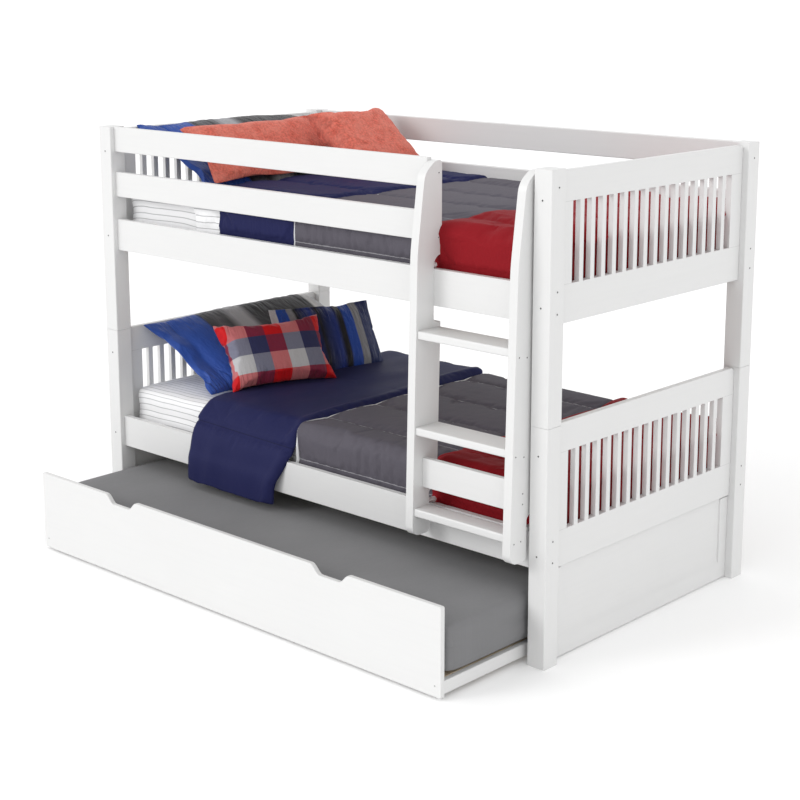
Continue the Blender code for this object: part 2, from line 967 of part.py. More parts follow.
def add_mattresses():
    """Two mattresses in the beds and one on the trundle."""
    made = {}
    for tier, rise in tiers.items():
        size = Vector((mattress_length, mattress_width, mattress_thickness))
        bottom = rise + deck_top_rise + seat_gap
        middle = Vector((0, bed_middle_y, bottom + mattress_thickness / 2))
        made[tier] = mattress(f"{tier}_mattress", white_sheet, middle, size)
    size = Vector(
        (trundle_mattress_length, trundle_mattress_width, trundle_mattress_thickness)
    )
    middle = Vector(
        (
            0,
            panel_back + trundle_mattress_front_gap + trundle_mattress_width / 2,
            tray_top + seat_gap + trundle_mattress_thickness / 2,
        )
    )
    mattress("trundle_mattress", grey_ticking, middle, size)
    return made


def puff(y):
    """Height of a comforter's channels over the stitch lines between them."""
    width = mattress_width + 2 * comforter_side_gap - 2 * comforter_radius
    share = (y - bed_middle_y) / width + 0.5
    return comforter_puff * abs(sin(pi * comforter_channel_count * share))


def evenly(low, high, steps):
    """Places at equal steps between two ends, both included."""
    return [low + (high - low) * step / steps for step in range(steps + 1)]


def rounded_point(point, low, high, radius):
    """A point of a box's surface, moved onto the box with rounded edges."""
    inner = Vector(
        min(max(value, start + radius), end - radius)
        for value, start, end in zip(point, low, high)
    )
    offset = point - inner
    if offset.length > radius:
        return inner + offset.normalized() * radius
    return point


def solidify(obj, thickness, offset):
    """Gives a sheet its thickness, outwards for an offset of 1 and inwards for -1."""
    modifier = obj.modifiers.new("Thickness", "SOLIDIFY")
    modifier.thickness = thickness
    modifier.offset = offset
    modifier.use_even_offset = True


def add_comforter(name, rise, head_x, bed):
    """A quilt over the bed from one place to the foot, tucked in on three sides."""
    top = rise + deck_top_rise + seat_gap + mattress_thickness + comforter_top_gap
    low = Vector(
        (
            head_x,
            bed_middle_y - mattress_width / 2 - comforter_side_gap,
            top - comforter_tuck,
        )
    )
    high = Vector(
        (
            mattress_length / 2 + comforter_side_gap,
            bed_middle_y + mattress_width / 2 + comforter_side_gap,
            top,
        )
    )
    radius = comforter_radius
    places_x = evenly(low.x, high.x - radius, comforter_along_count) + [high.x]
    across = evenly(low.y + radius, high.y - radius, 4 * comforter_channel_count)
    places_y = [low.y, *across, high.y]
    drops = [0.0] + evenly(radius, comforter_tuck, comforter_down_count)
    last_x = len(places_x) - 1
    last_y = len(places_y) - 1
    down = len(drops) - 1
    columns = last_x + down
    rows = last_y + 2 * down
    box_low = low - Vector((radius, 0, radius))
    bm = bmesh.new()
    bmesh.ops.create_grid(bm, x_segments=columns, y_segments=rows, size=1)
    corners = []
    for vert in bm.verts:
        column = round((vert.co.x + 1) / 2 * columns)
        row = round((vert.co.y + 1) / 2 * rows) - down
        past_foot = max(0, column - last_x)
        past_side = max(0, -row, row - last_y)
        if past_foot and past_side:
            corners.append(vert)
            continue
        x = places_x[min(column, last_x)]
        y = places_y[min(max(row, 0), last_y)]
        z = top - drops[max(past_foot, past_side)]
        vert.co = rounded_point(Vector((x, y, z)), box_low, high, radius)
        if column < last_x and 0 < row < last_y:
            vert.co.z += puff(y)
    bmesh.ops.delete(bm, geom=corners, context="VERTS")
    bmesh.ops.remove_doubles(bm, verts=bm.verts, dist=seat_gap)
    mesh = bpy.data.meshes.new(name)
    bm.to_mesh(mesh)
    bm.free()
    mesh.shade_smooth()
    quilt = add_object(name, mesh, grey_quilt)
    solidify(quilt, comforter_thickness, 1)
    lower_onto(quilt, [bed])
    return quilt


def fold_profile(rise):
    """Inner side of the folded part across the bed, from the rear tuck to the flap's hem."""
    top = rise + deck_top_rise + seat_gap + mattress_thickness + comforter_top_gap
    rear = bed_middle_y + mattress_width / 2 + comforter_side_gap
    rail_face = front_face + rail_recess - flap_rail_clearance
    rail_top = rise + rail_base + rail_height
    front = bed_middle_y - mattress_width / 2
    hem_height = flap_bottom_height
    points = [(rear, top - comforter_tuck), (rear, top - comforter_tuck / 2)]
    for step in range(arc_step_count):
        turn = pi / 2 * step / (arc_step_count - 1)
        points.append(
            (
                rear - comforter_radius * (1 - cos(turn)),
                top - comforter_radius * (1 - sin(turn)),
            )
        )
    across = 2 * comforter_channel_count
    start = front + comforter_side_gap + 2 * comforter_radius
    for step in range(1, across + 1):
        y = rear - comforter_radius + step / across * (start - rear + comforter_radius)
        points.append((y, top + puff(y)))
    shoulder_run = front - rail_face
    points += [
        (front + comforter_radius, top - flap_bulge / 4),
        (front - shoulder_run / 4, top - flap_bulge),
        (rail_face, rail_top + flap_bulge),
        (rail_face - flap_bulge / 4, rail_top - flap_bulge),
        (rail_face - flap_bulge / 2, (rail_top + hem_height) / 2),
        (front_face - flap_reach, hem_height + flap_bulge),
        (front_face - flap_reach - flap_bulge / 10, hem_height),
    ]
    return points


def add_fold(name, rise, head_x, end_x, bed):
    """The turned part of the lower comforter, with a flap over the front rail."""
    profile = fold_profile(rise)
    rows = len(profile) - 1
    hang_start = rise + rail_base + rail_height
    bm = bmesh.new()
    bmesh.ops.create_grid(bm, x_segments=fold_along_count, y_segments=rows, size=1)
    for vert in bm.verts:
        along_share = (vert.co.x + 1) / 2
        row = rows - round((vert.co.y + 1) / 2 * rows)
        y, z = profile[row]
        end = end_x
        in_front = y < front_face + rail_recess
        hang = max(0, (hang_start - z) / (hang_start - flap_bottom_height))
        if in_front:
            end -= flap_taper * hang
            y -= flap_wave * hang * (1 - cos(2 * pi * flap_wave_count * along_share)) / 2
        vert.co = Vector((head_x + along_share * (end - head_x), y, z))
    mesh = bpy.data.meshes.new(name)
    bm.to_mesh(mesh)
    bm.free()
    mesh.shade_smooth()
    fold = add_object(name, mesh, navy_satin)
    solidify(fold, flap_thickness, 1)
    lower_onto(fold, [bed])
    return fold


def pillow(name, finish, size):
    """A plump pillow: thin seams, full middle, drawn-in edges and pointed corners."""
    width, height, thickness = size
    half = Vector((thickness, width, height)) / 2

    def shape(point):
        at_width_end = abs(point.y) > cage_face_share
        at_height_end = abs(point.z) > cage_face_share
        on_seam = at_width_end or at_height_end
        x = point.x * half.x * pillow_cage_share
        y = point.y * half.y * pillow_cage_share
        z = point.z * half.z * pillow_cage_share
        if on_seam:
            x *= pillow_seam_share
        if at_width_end and not at_height_end:
            y *= 1 - pillow_draw_in_share
        if at_height_end and not at_width_end:
            z *= 1 - pillow_draw_in_share
        return Vector((x, y, z))

    return caged(name, finish, shape, 2)


def stand_pillow(obj, rise, place, lean, turn, size, supports):
    """Leans a pillow back towards the head end and lowers it onto what carries it."""
    foot, middle = place
    x = foot - half_length
    y = bed_middle_y + middle
    tilt = Matrix.Rotation(lean - pi / 2, 4, "Y")
    about = Matrix.Rotation(-turn, 4, "Z")
    raise_middle = Matrix.Translation((0, 0, size[1] / 2))
    start = rise + deck_top_rise + mattress_thickness + pillow_hover
    obj.matrix_world = Matrix.Translation((x, y, start)) @ about @ tilt @ raise_middle
    lower_onto(obj, supports)


def surface_samples(obj):
    """An object's evaluated surface as a tree, and points along all its edges."""
    bpy.context.view_layer.update()
    evaluated = obj.evaluated_get(bpy.context.evaluated_depsgraph_get())
    bm = bmesh.new()
    bm.from_mesh(evaluated.to_mesh())
    bm.transform(obj.matrix_world)
    bmesh.ops.triangulate(bm, faces=bm.faces)
    tree = BVHTree.FromBMesh(bm)
    points = []
    for edge in bm.edges:
        start, end = (vert.co for vert in edge.verts)
        for step in range(settle_sample_count):
            points.append(start.lerp(end, step / settle_sample_count))
    bm.free()
    evaluated.to_mesh_clear()
    return tree, points


def lower_onto(obj, supports):
    """Moves an object straight down until it lies one gap above what is under it."""
    down = Vector((0, 0, -1))
    own_tree, own_points = surface_samples(obj)
    nearest = None
    for support in supports:
        tree, points = surface_samples(support)
        hits = [tree.ray_cast(point, down)[3] for point in own_points]
        hits += [own_tree.ray_cast(point, -down)[3] for point in points]
        found = [distance for distance in hits if distance is not None]
        if found:
            closest = min(found)
            nearest = closest if nearest is None else min(nearest, closest)
    obj.matrix_world = Matrix.Translation(down * (nearest - seat_gap)) @ obj.matrix_world


def add_bedding():
    """Mattresses, comforters and pillows."""
    mattresses = add_mattresses()
    lower_bed = mattresses["lower"]
    upper_bed = mattresses["upper"]
    low = tiers["lower"]
    high = tiers["upper"]
    head_x = comforter_head - half_length
    fold_x = fold_end - half_length
    fold = add_fold("lower_comforter_fold", low, head_x, fold_x - fold_joint_gap, lower_bed)
    lower_quilt = add_comforter("lower_comforter", low, fold_x, lower_bed)
    upper_quilt = add_comforter("upper_comforter", high, head_x, upper_bed)
    below = [lower_bed, fold, lower_quilt]
    above = [upper_bed, upper_quilt]
    table = (
        ("lower_sham", blue_stripe, sham_size, "lower", lower_sham_place, sham_lean_angle, 0),
        (
            "striped_pillow",
            blue_stripe,
            striped_size,
            "lower",
            striped_place,
            striped_lean_angle,
            small_pillow_turn_angle,
        ),
        (
            "plaid_pillow",
            red_plaid,
            plaid_size,
            "lower",
            plaid_place,
            plaid_lean_angle,
            small_pillow_turn_angle,
        ),
        ("upper_sham", blue_stripe, sham_size, "upper", upper_sham_place, sham_lean_angle, 0),
        (
            "coral_pillow_left",
            coral_plush,
            coral_left_size,
            "upper",
            coral_left_place,
            coral_left_lean_angle,
            0,
        ),
        (
            "coral_pillow_right",
            coral_plush,
            coral_right_size,
            "upper",
            coral_right_place,
            coral_right_lean_angle,
            0,
        ),
    )
    for name, finish, size, tier, place, lean, turn in table:
        supports = below if tier == "lower" else above
        obj = pillow(name, finish, size)
        stand_pillow(obj, tiers[tier], place, lean, turn, size, supports)
        supports.append(obj)


for old in list(bpy.data.objects):
    bpy.data.objects.remove(old, do_unlink=True)
bed_parts = new_collection("Bunk bed with trundle")
cutters = new_collection("Cutters")
add_posts()
add_end_panels()
add_skirt_panels()
add_side_rails()
add_slat_decks()
add_guard_boards()
add_ladder()
add_trundle()
add_bedding()
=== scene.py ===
"""Finishes of the twin bunk bed with a trundle: painted boards, bedding and a studio.

Everything is in metres in the bed's own frame: +Z is up, -Y is the front with the ladder
and the trundle, and -X is the head end with the pillows.
"""

from math import cos, exp, hypot, pi, radians, sin

import bmesh
import bpy
from bpy.props import FloatProperty, FloatVectorProperty, PointerProperty
from mathutils import Matrix, Vector, noise


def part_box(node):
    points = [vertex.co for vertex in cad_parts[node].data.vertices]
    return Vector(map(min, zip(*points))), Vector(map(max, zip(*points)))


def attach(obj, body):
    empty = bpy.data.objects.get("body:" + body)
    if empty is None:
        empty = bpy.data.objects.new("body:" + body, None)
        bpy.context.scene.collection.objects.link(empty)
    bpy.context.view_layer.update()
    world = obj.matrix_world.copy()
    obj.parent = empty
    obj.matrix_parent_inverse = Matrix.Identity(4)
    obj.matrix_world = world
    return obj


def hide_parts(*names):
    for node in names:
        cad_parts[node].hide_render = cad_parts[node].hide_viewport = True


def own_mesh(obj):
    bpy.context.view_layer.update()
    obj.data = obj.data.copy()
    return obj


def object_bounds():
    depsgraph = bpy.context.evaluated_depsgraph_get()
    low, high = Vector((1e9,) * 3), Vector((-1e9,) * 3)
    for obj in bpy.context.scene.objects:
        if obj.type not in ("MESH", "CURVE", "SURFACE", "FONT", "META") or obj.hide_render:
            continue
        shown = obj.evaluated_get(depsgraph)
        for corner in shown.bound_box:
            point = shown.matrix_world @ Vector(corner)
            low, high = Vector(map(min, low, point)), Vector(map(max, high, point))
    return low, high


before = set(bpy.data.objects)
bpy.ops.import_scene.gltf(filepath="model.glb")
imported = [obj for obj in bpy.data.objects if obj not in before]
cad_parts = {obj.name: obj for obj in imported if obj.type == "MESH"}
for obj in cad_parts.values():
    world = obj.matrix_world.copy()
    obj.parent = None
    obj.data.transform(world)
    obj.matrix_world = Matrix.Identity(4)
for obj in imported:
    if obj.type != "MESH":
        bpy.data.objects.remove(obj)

bl_info = {"name": "Bunk bed with trundle", "version": (1, 0, 0), "blender": (4, 5, 0),
    "location": "3D View > Sidebar > Bunk Bed",
    "description": "Paints the boards, makes up the beds and lights the studio", "category": "Object"}

# Places on the bed, worked out from the packed model
low_corner, high_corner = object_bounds()
head_end = low_corner.x
front_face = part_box("lower_post_front_left")[0].y
rear_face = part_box("lower_post_rear_left")[1].y
foot_end = high_corner.x
bed_middle = (front_face + rear_face) / 2
tray_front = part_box("trundle_front")[0].y
fold_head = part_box("upper_comforter")[0].x
fold_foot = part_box("lower_comforter")[0].x
red_start = head_end + 1.545
channel_pitch = 0.235
turned_sheet_end = fold_head + 0.130
channel_first = front_face + 0.190

# Weld distance, and sizes of the end panels, the quilts and the hook pins
weld = 0.00002
panel_bottom_rail = 0.1125
panel_top_rail = 0.0895
panel_stile = 0.062
quilt_radius = 0.030
quilt_top_inset = 0.007
quilt_thickness = 0.008
seam_slope = 0.026
pin_rise = 0.0088
pin_reach = 0.0095
quilt_seeds = {"lower": 11.0, "upper": 23.0}


def rgb(name, text, value):
    """A colour setting."""
    return FloatVectorProperty(name=name, description=text, default=value, subtype="COLOR", size=3, min=0,
        max=1)


def length(name, text, value):
    """A length setting."""
    return FloatProperty(name=name, description=text, default=value, min=0, unit="LENGTH", precision=5)


class BUNKBED_timber(bpy.types.PropertyGroup):
    """Boards and fittings."""

    paint: rgb("Paint", "Colour of the painted boards", (0.70, 0.70, 0.697))
    pine: rgb("Pine", "Colour of the bare slats", (0.70, 0.53, 0.34))
    board_round: length("Board edges", "Radius of the boards' long edges", 0.003)
    post_round: length("Post edges", "Radius of the posts' long edges", 0.0038)
    tread_round: length("Tread edges", "Radius of the treads' long edges", 0.005)
    end_round: length("Ends", "Radius of the ends that butt on other pieces", 0.0007)
    bolt_radius: length("Bolts", "Radius of a bolt's ring", 0.0062)


class BUNKBED_bedding(bpy.types.PropertyGroup):
    """Mattresses and comforters."""

    sheet: rgb("Sheet", "Ground colour of the fitted sheets", (0.84, 0.84, 0.85))
    sheet_stripe: rgb("Sheet stripe", "Thin stripes of the sheets", (0.30, 0.30, 0.31))
    navy: rgb("Navy", "Turned side of the comforters", (0.017, 0.019, 0.071))
    charcoal: rgb("Charcoal", "Middle of the comforters", (0.100, 0.093, 0.112))
    red: rgb("Red", "Foot of the comforters", (0.235, 0.010, 0.015))
    piping: rgb("Piping", "Cord between navy and charcoal", (0.75, 0.75, 0.76))
    ticking: rgb("Ticking", "Cover of the trundle's mattress", (0.192, 0.192, 0.197))
    channel_puff: length("Puff", "Height of a channel over its stitches", 0.006)
    wrinkle: length("Wrinkles", "Height of the comforters' wrinkles", 0.0022)
    cloth_give: length("Give", "Most that a comforter's cloth moves in its channels", 0.006)


class BUNKBED_pillows(bpy.types.PropertyGroup):
    """Shams and cushions."""

    coral: rgb("Coral", "Plush of the long cushions", (0.56, 0.12, 0.085))
    blue: rgb("Blue", "Satin bands of the shams", (0.022, 0.065, 0.30))
    silver: rgb("Silver", "Pale bands of the shams", (0.30, 0.30, 0.32))
    black: rgb("Charcoal", "Dark bands of the shams", (0.013, 0.013, 0.016))
    plaid_red: rgb("Plaid red", "Red threads of the plaid", (0.68, 0.012, 0.018))
    plaid_white: rgb("Plaid white", "White threads of the plaid", (0.62, 0.62, 0.63))
    plaid_navy: rgb("Plaid navy", "Navy threads of the plaid", (0.060, 0.065, 0.170))
    check: length("Checks", "Side of one check", 0.069)
    swell: length("Swell", "Most that a filling pushes its cover out", 0.012)


class BUNKBED_studio(bpy.types.PropertyGroup):
    """Floor and light."""

    floor: rgb("Floor", "Colour of the floor", (0.93, 0.93, 0.93))
    low_sky: FloatProperty(name="Low sky", description="Light from the sides", default=1.0)
    high_sky: FloatProperty(name="High sky", description="Light from straight above", default=1.0)
    floor_glow: FloatProperty(name="Floor glow", description="Light the floor gives off", default=0.08)
    key: FloatProperty(name="Key", description="Strength of the front light", default=0.98)
    fill: FloatProperty(name="Fill", description="Strength of the foot end's light", default=0.18)


def settings(group):
    """One group of the scene's settings."""
    return getattr(bpy.context.scene, f"bunkbed_{group}")


# Materials


class Flow:
    """An output of a shader node, which takes plain arithmetic with outputs and numbers."""

    def __init__(self, tree, socket):
        self.tree = tree
        self.socket = socket

    def math(self, operation, *others):
        """One step of arithmetic."""
        return add(self.tree, "Math", dict(enumerate((self, *others))), operation=operation)

    def into(self, socket):
        """Links the output to an input."""
        self.tree.links.new(self.socket, socket)

    def __add__(self, other):
        return self.math("ADD", other)

    def __sub__(self, other):
        return self.math("SUBTRACT", other)

    def __mul__(self, other):
        return self.math("MULTIPLY", other)

    def __lt__(self, other):
        return self.math("LESS_THAN", other)

    def __gt__(self, other):
        return self.math("GREATER_THAN", other)

    def __abs__(self):
        return self.math("ABSOLUTE")


def add(tree, kind, inputs=None, output=0, **values):
    """An output of a new shader node, with its settings made and its inputs linked or set."""
    node = tree.nodes.new(f"ShaderNode{kind}")
    for key, value in values.items():
        setattr(node, key, value)
    for key, value in (inputs or {}).items():
        if isinstance(value, Flow):
            value.into(node.inputs[key])
        else:
            node.inputs[key].default_value = value
    return Flow(tree, node.outputs[output])


def material(name, roughness, metallic=0.0, sheen=0.0, specular=0.4):
    """A new material, its node tree and its shader."""
    made = bpy.data.materials.new(name)
    made.use_nodes = True
    shader = made.node_tree.nodes["Principled BSDF"]
    names = ("Roughness", "Metallic", "Sheen Weight", "Specular IOR Level")
    for name, value in zip(names, (roughness, metallic, sheen, specular)):
        shader.inputs[name].default_value = value
    return made, made.node_tree, shader


def solid_place(tree, stretch=(1, 1, 1)):
    """Object coordinates, stretched along the axes."""
    place = add(tree, "TexCoord", output="Object")
    return add(tree, "Mapping", {"Vector": place, "Scale": stretch})


def cloth_place(tree, stretch=(1, 1, 1)):
    """The piece's own cloth coordinates, in metres, stretched."""
    place = add(tree, "UVMap", uv_map="cloth")
    return add(tree, "Mapping", {"Vector": place, "Scale": stretch})


def parts(place):
    """The x, y and z of a place."""
    outputs = add(place.tree, "SeparateXYZ", {"Vector": place}).socket.node.outputs
    return [Flow(place.tree, output) for output in outputs]


def grain(place, scale, detail=3.0, distortion=0.0):
    """A noise from 0 to 1 at a place."""
    inputs = {"Vector": place, "Scale": scale, "Detail": detail, "Distortion": distortion}
    return add(place.tree, "TexNoise", inputs, "Fac")


def between(factor, low, high, from_low=0.3, from_high=0.7):
    """A value that follows a factor."""
    inputs = {"Value": factor, 1: from_low, 2: from_high, 3: low, 4: high}
    return add(factor.tree, "MapRange", inputs)


def blend(factor, first, second, mode="MIX"):
    """A colour between two colours."""
    tree = next(value.tree for value in (factor, first, second) if isinstance(value, Flow))
    inputs = {0: factor, 6: first, 7: second}
    return add(tree, "Mix", inputs, 2, data_type="RGBA", blend_type=mode)


def four(colour, tone=1.0):
    """A colour with its alpha, lightened or darkened."""
    return (*(min(1.0, part * tone) for part in colour), 1.0)


def bump(shader, layers):
    """Layers of (height, strength, depth) raised on a shader's surface."""
    last = None
    for height, strength, depth in layers:
        inputs = {"Height": height, "Strength": strength, "Distance": depth}
        if last:
            inputs["Normal"] = last
        last = add(height.tree, "Bump", inputs)
    last.into(shader.inputs["Normal"])


def colour_steps(factor, steps, ease="LINEAR"):
    """A colour ramp of (place, colour) steps."""
    ramp = add(factor.tree, "ValToRGB", {"Fac": factor})
    ramp.socket.node.color_ramp.interpolation = ease
    stops = ramp.socket.node.color_ramp.elements
    while len(stops) < len(steps):
        stops.new(1.0)
    for stop, (place, colour) in zip(stops, steps):
        stop.position = place
        stop.color = colour
    return ramp


def weave(place, threads):
    """Height of a plain weave with so many threads a metre."""
    warp, weft = ((side * (threads * pi)).math("SINE") for side in parts(place)[:2])
    return warp * weft * 0.5 + 0.5


def painted(name, along, joints=()):
    """Satin paint over a faint grain, with fine dark joint lines.

    A joint is (axis, place, axis of its run, middle of the run, reach kept free of the line).
    """
    made, tree, shader = material(name, 0.34)
    paint = settings("timber").paint
    place = solid_place(tree)
    at = parts(place)
    stretch = [90.0, 90.0, 90.0]
    stretch["XYZ".index(along)] = 5.0
    height = grain(solid_place(tree, stretch), 1.0, 5.0)
    tone = grain(place, 2.2)
    colour = blend(tone, four(paint, 0.975), four(paint, 1.015))
    colour = blend(between(height, 0.0, 0.35, 0.45, 0.8), colour, four(paint, 0.955))
    for axis, line_place, run_axis, run_middle, run_reach in joints:
        beyond = abs(at[run_axis] - run_middle) > run_reach
        line = (abs(at[axis] - line_place) < 0.0006) * beyond
        colour = blend(line * 0.32, colour, (0.2, 0.2, 0.2, 1.0))
        height = height - line
    colour.into(shader.inputs["Base Color"])
    between(tone, 0.29, 0.40).into(shader.inputs["Roughness"])
    bump(shader, ((height, 0.10, 0.0006), (grain(place, 420.0, 2.0), 0.05, 0.0003)))
    return made


def pine():
    """Bare pine slats that run front to rear, each with its own tone and rings."""
    made, tree, shader = material("bare_pine", 0.6)
    wood = settings("timber").pine
    slat = (parts(solid_place(tree))[0] * 6.5).math("FLOOR")
    own = add(tree, "TexWhiteNoise", {"W": slat}, "Value", noise_dimensions="1D")
    inputs = {"Vector": solid_place(tree, (1, 0.06, 1)), "Scale": 42.0, "Distortion": 5.0, "Detail": 3.0}
    rings = add(tree, "TexWave", inputs, "Fac", bands_direction="X")
    fibres = grain(solid_place(tree, (300, 9, 300)), 1.0, 4.0)
    colour = blend(rings, four(wood, 1.1), four(wood, 0.72))
    colour = blend(between(own, 0.0, 0.4, 0, 1), colour, four(wood, 0.8))
    blend(0.25, colour, fibres).into(shader.inputs["Base Color"])
    bump(shader, ((fibres, 0.25, 0.0006), (rings, 0.15, 0.0004)))
    return made


def metal(name, colour, roughness):
    """Zinc-plated steel with fine scratches."""
    made, tree, shader = material(name, roughness, metallic=1.0)
    scratches = grain(solid_place(tree, (900, 60, 60)), 1.0)
    blend(scratches, four(colour, 0.85), four(colour, 1.1)).into(shader.inputs["Base Color"])
    between(scratches, roughness - 0.08, roughness + 0.1).into(shader.inputs["Roughness"])
    return made


def plastic(name, colour):
    """Matt moulded plastic."""
    made, tree, shader = material(name, 0.5)
    specks = grain(solid_place(tree), 500.0)
    blend(specks, four(colour, 0.85), four(colour, 1.15)).into(shader.inputs["Base Color"])
    bump(shader, ((specks, 0.1, 0.0003),))
    return made


def finish_cloth(tree, shader, colour, threads=900.0, depth=0.0003, crumple=0.0012, more=()):
    """Colour, weave and small crumples of a woven cloth."""
    place = cloth_place(tree)
    drawn = abs(grain(cloth_place(tree, (1, 0.6, 1)), 14.0) - 0.5)
    crease = between(drawn, 0.0, 1.0, 0.0, 0.09)
    yarn = between(grain(cloth_place(tree, (60, 900, 1)), 1.0), 0.0, 0.10)
    blend(yarn, colour, (1, 1, 1, 1), "SOFT_LIGHT").into(shader.inputs["Base Color"])
    broad = ((grain(place, 26.0, 4.0), 0.5, crumple), (crease, 0.35, crumple))
    bump(shader, (*broad, *more, (weave(place, threads), 0.35, depth)))


def ripples(tree):
    """Small folds that run across a cloth."""
    return grain(cloth_place(tree, (58, 11, 1)), 1.0, 3.0, 0.6)


def sheet_stripes(tree):
    """White with thin grey stripes along the bed."""
    bedding = settings("bedding")
    place = cloth_place(tree)
    across = grain(place, 4.5, 1.0) * 0.022 + parts(place)[1]
    row = (across * (1 / 0.0215)).math("FRACT")
    line = between(abs(row - 0.5), 0.75, 0.0, 0.045, 0.10)
    return blend(line, four(bedding.sheet), four(bedding.sheet_stripe))


def sheet_cotton():
    """Striped cotton of the fitted sheets."""
    made, tree, shader = material("sheet_cotton", 0.85, sheen=0.15, specular=0.2)
    finish_cloth(tree, shader, sheet_stripes(tree), crumple=0.0016)
    return made


def comforter_cloth(name, navy_end):
    """Navy, charcoal with pale stitches, then red, along the bed."""
    made, tree, shader = material(name, 0.6, sheen=0.01, specular=0.05)
    bedding = settings("bedding")
    x, y, _ = parts(cloth_place(tree))
    along = grain(cloth_place(tree), 5.0, 1.0) * 0.014 + x
    row = ((y - channel_first) * (1 / channel_pitch) + 0.5).math("FRACT")
    off = abs(row - 0.5)
    stitch = (off < 0.0015 / channel_pitch) * ((x * 210.0).math("FRACT") < 0.72)
    charcoal = blend(stitch * 0.8, four(bedding.charcoal), (0.45, 0.45, 0.47, 1.0))
    colour = blend(along > red_start + 0.007, charcoal, four(bedding.red))
    half = (rear_face - front_face) / 2
    if navy_end is not None:
        colour = blend(x < navy_end, colour, four(bedding.navy))
        ahead = (y - bed_middle) * -1.0
        edge = between(ahead, fold_head - 0.02, turned_sheet_end, half - 0.075, half - 0.045)
        colour = blend(x < edge, colour, sheet_stripes(tree))
    past = abs(y - bed_middle)
    side = between(past, 0.0, 1.0, half - 0.075, half - 0.025)
    lower = between(past, 1.0, 0.55, half + 0.035, half + 0.085)
    puckers = ripples(tree) * (side * lower + between(off, 0.2, 0.0, 0.0, 0.10))
    finish_cloth(tree, shader, colour, more=((puckers, 0.45, 0.004),))
    return made


def plain_cloth(name, colour, roughness=0.5, sheen=0.04, threads=900.0, crumple=0.0012, seam=None):
    """One colour of woven cloth with slight tone changes, and a seam at (start, slope) across it, darkened
    with painted shade along its groove.
    """
    made, tree, shader = material(name, roughness, sheen=sheen, specular=0.05)
    shade = blend(grain(cloth_place(tree), 4.0), four(colour, 0.9), four(colour, 1.1))
    more = ()
    if seam:
        start, slope = seam
        x, y, _ = parts(cloth_place(tree))
        off = abs(y - (x * slope + start))
        # Painted shade: the cloth darkens to a quarter of its colour within about 2 mm of the seam, for the
        # shade in its groove
        shade = blend(between(off, 0.65, 0.0, 0.0004, 0.0018), shade, four(colour, 0.25))
        groove = between(off, 0.0, 1.0, 0.0, 0.016)
        pulls = ripples(tree) * between(off, 0.7, 0.0, 0.004, 0.06)
        more = ((groove, 0.6, 0.005), (pulls, 0.5, 0.004))
    finish_cloth(tree, shader, shade, threads, crumple=crumple, more=more)
    return made


def plush():
    """Short mottled pile."""
    made, tree, shader = material("coral_plush", 0.95, sheen=0.25, specular=0.05)
    colour = settings("pillows").coral
    place = solid_place(tree)
    tufts = grain(place, 130.0, 4.0)
    mixed = blend(between(tufts, 0, 1, 0.35, 0.65), four(colour, 0.72), four(colour, 1.25))
    swirl = between(grain(place, 28.0), 0.0, 0.5)
    blend(swirl, mixed, (0.75, 0.27, 0.21, 1.0)).into(shader.inputs["Base Color"])
    shader.inputs["Sheen Roughness"].default_value = 0.4
    shader.inputs["Sheen Tint"].default_value = (1.0, 0.75, 0.7, 1.0)
    bump(shader, ((tufts, 0.7, 0.003), (grain(place, 700.0), 0.6, 0.001)))
    return made


def face_parts(tree):
    """Places across and up a pillow's face, from 0 to 1."""
    return parts(add(tree, "UVMap", uv_map="face"))


def seam_pulls(tree, start, end):
    """Small folds that fade away from a pillow's long seams."""
    folds = between(ripples(tree), 0.0, 1.0, 0.36, 0.64)
    return folds * between(abs(face_parts(tree)[1] - 0.5), 0.1, 1.0, start, end)


def banded(name, steps):
    """Satin bands across a pillow, with a slub along them."""
    made, tree, shader = material(name, 0.4, sheen=0.03, specular=0.2)
    across = grain(cloth_place(tree, (8, 1.5, 1)), 1.0) * 0.012 + face_parts(tree)[0]
    pulls = (seam_pulls(tree, 0.15, 0.45), 0.8, 0.007)
    finish_cloth(tree, shader, colour_steps(across, steps), crumple=0.0024, more=(pulls,))
    return made


def plaid():
    """Checks woven of red, white and navy threads."""
    made, tree, shader = material("plaid_cotton", 0.6, sheen=0.06, specular=0.15)
    pillows = settings("pillows")
    red, white, navy = map(four, (pillows.plaid_red, pillows.plaid_white, pillows.plaid_navy))
    x, y, _ = parts(cloth_place(tree))
    threads = []
    for side, shift, colours in ((x, 0.62, (red, white, navy)), (y, 1.25, (white, navy, red))):
        where = (side * (1 / (3 * pillows.check)) + shift / 3 + 4.0).math("FRACT")
        steps = [(index / 3, colour) for index, colour in enumerate(colours)]
        threads.append(colour_steps(where, steps, "CONSTANT"))
    twill = between(((x + y) * 2600.0).math("SINE"), 0.32, 0.68, -1.0, 1.0)
    colour = blend(0.53, blend(twill, *threads), blend(1.0, *threads, "MULTIPLY"))
    pulls = (seam_pulls(tree, 0.22, 0.47), 0.8, 0.006)
    finish_cloth(tree, shader, colour, 700.0, crumple=0.0018, more=(pulls,))
    return made


# Mesh helpers


def linked(name, data):
    """A new object in the scene."""
    obj = bpy.data.objects.new(name, data)
    bpy.context.scene.collection.objects.link(obj)
    return obj


def mesh_of(name, bm):
    """A new mesh from a bmesh, which is then freed."""
    mesh = bpy.data.meshes.new(name)
    bm.to_mesh(mesh)
    bm.free()
    return mesh


def piece(name, bm, finishes, body, slot, replaces=(), smooth=None):
    """A finished mesh in the bed's frame, riding on its body."""
    mesh = mesh_of(name, bm)
    for finish in finishes:
        mesh.materials.append(finish)
    obj = linked(name, mesh)
    mesh.shade_smooth()
    if smooth:
        mesh.set_sharp_from_angle(angle=radians(smooth))
    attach(obj, body)
    if replaces:
        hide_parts(*replaces)
    return obj


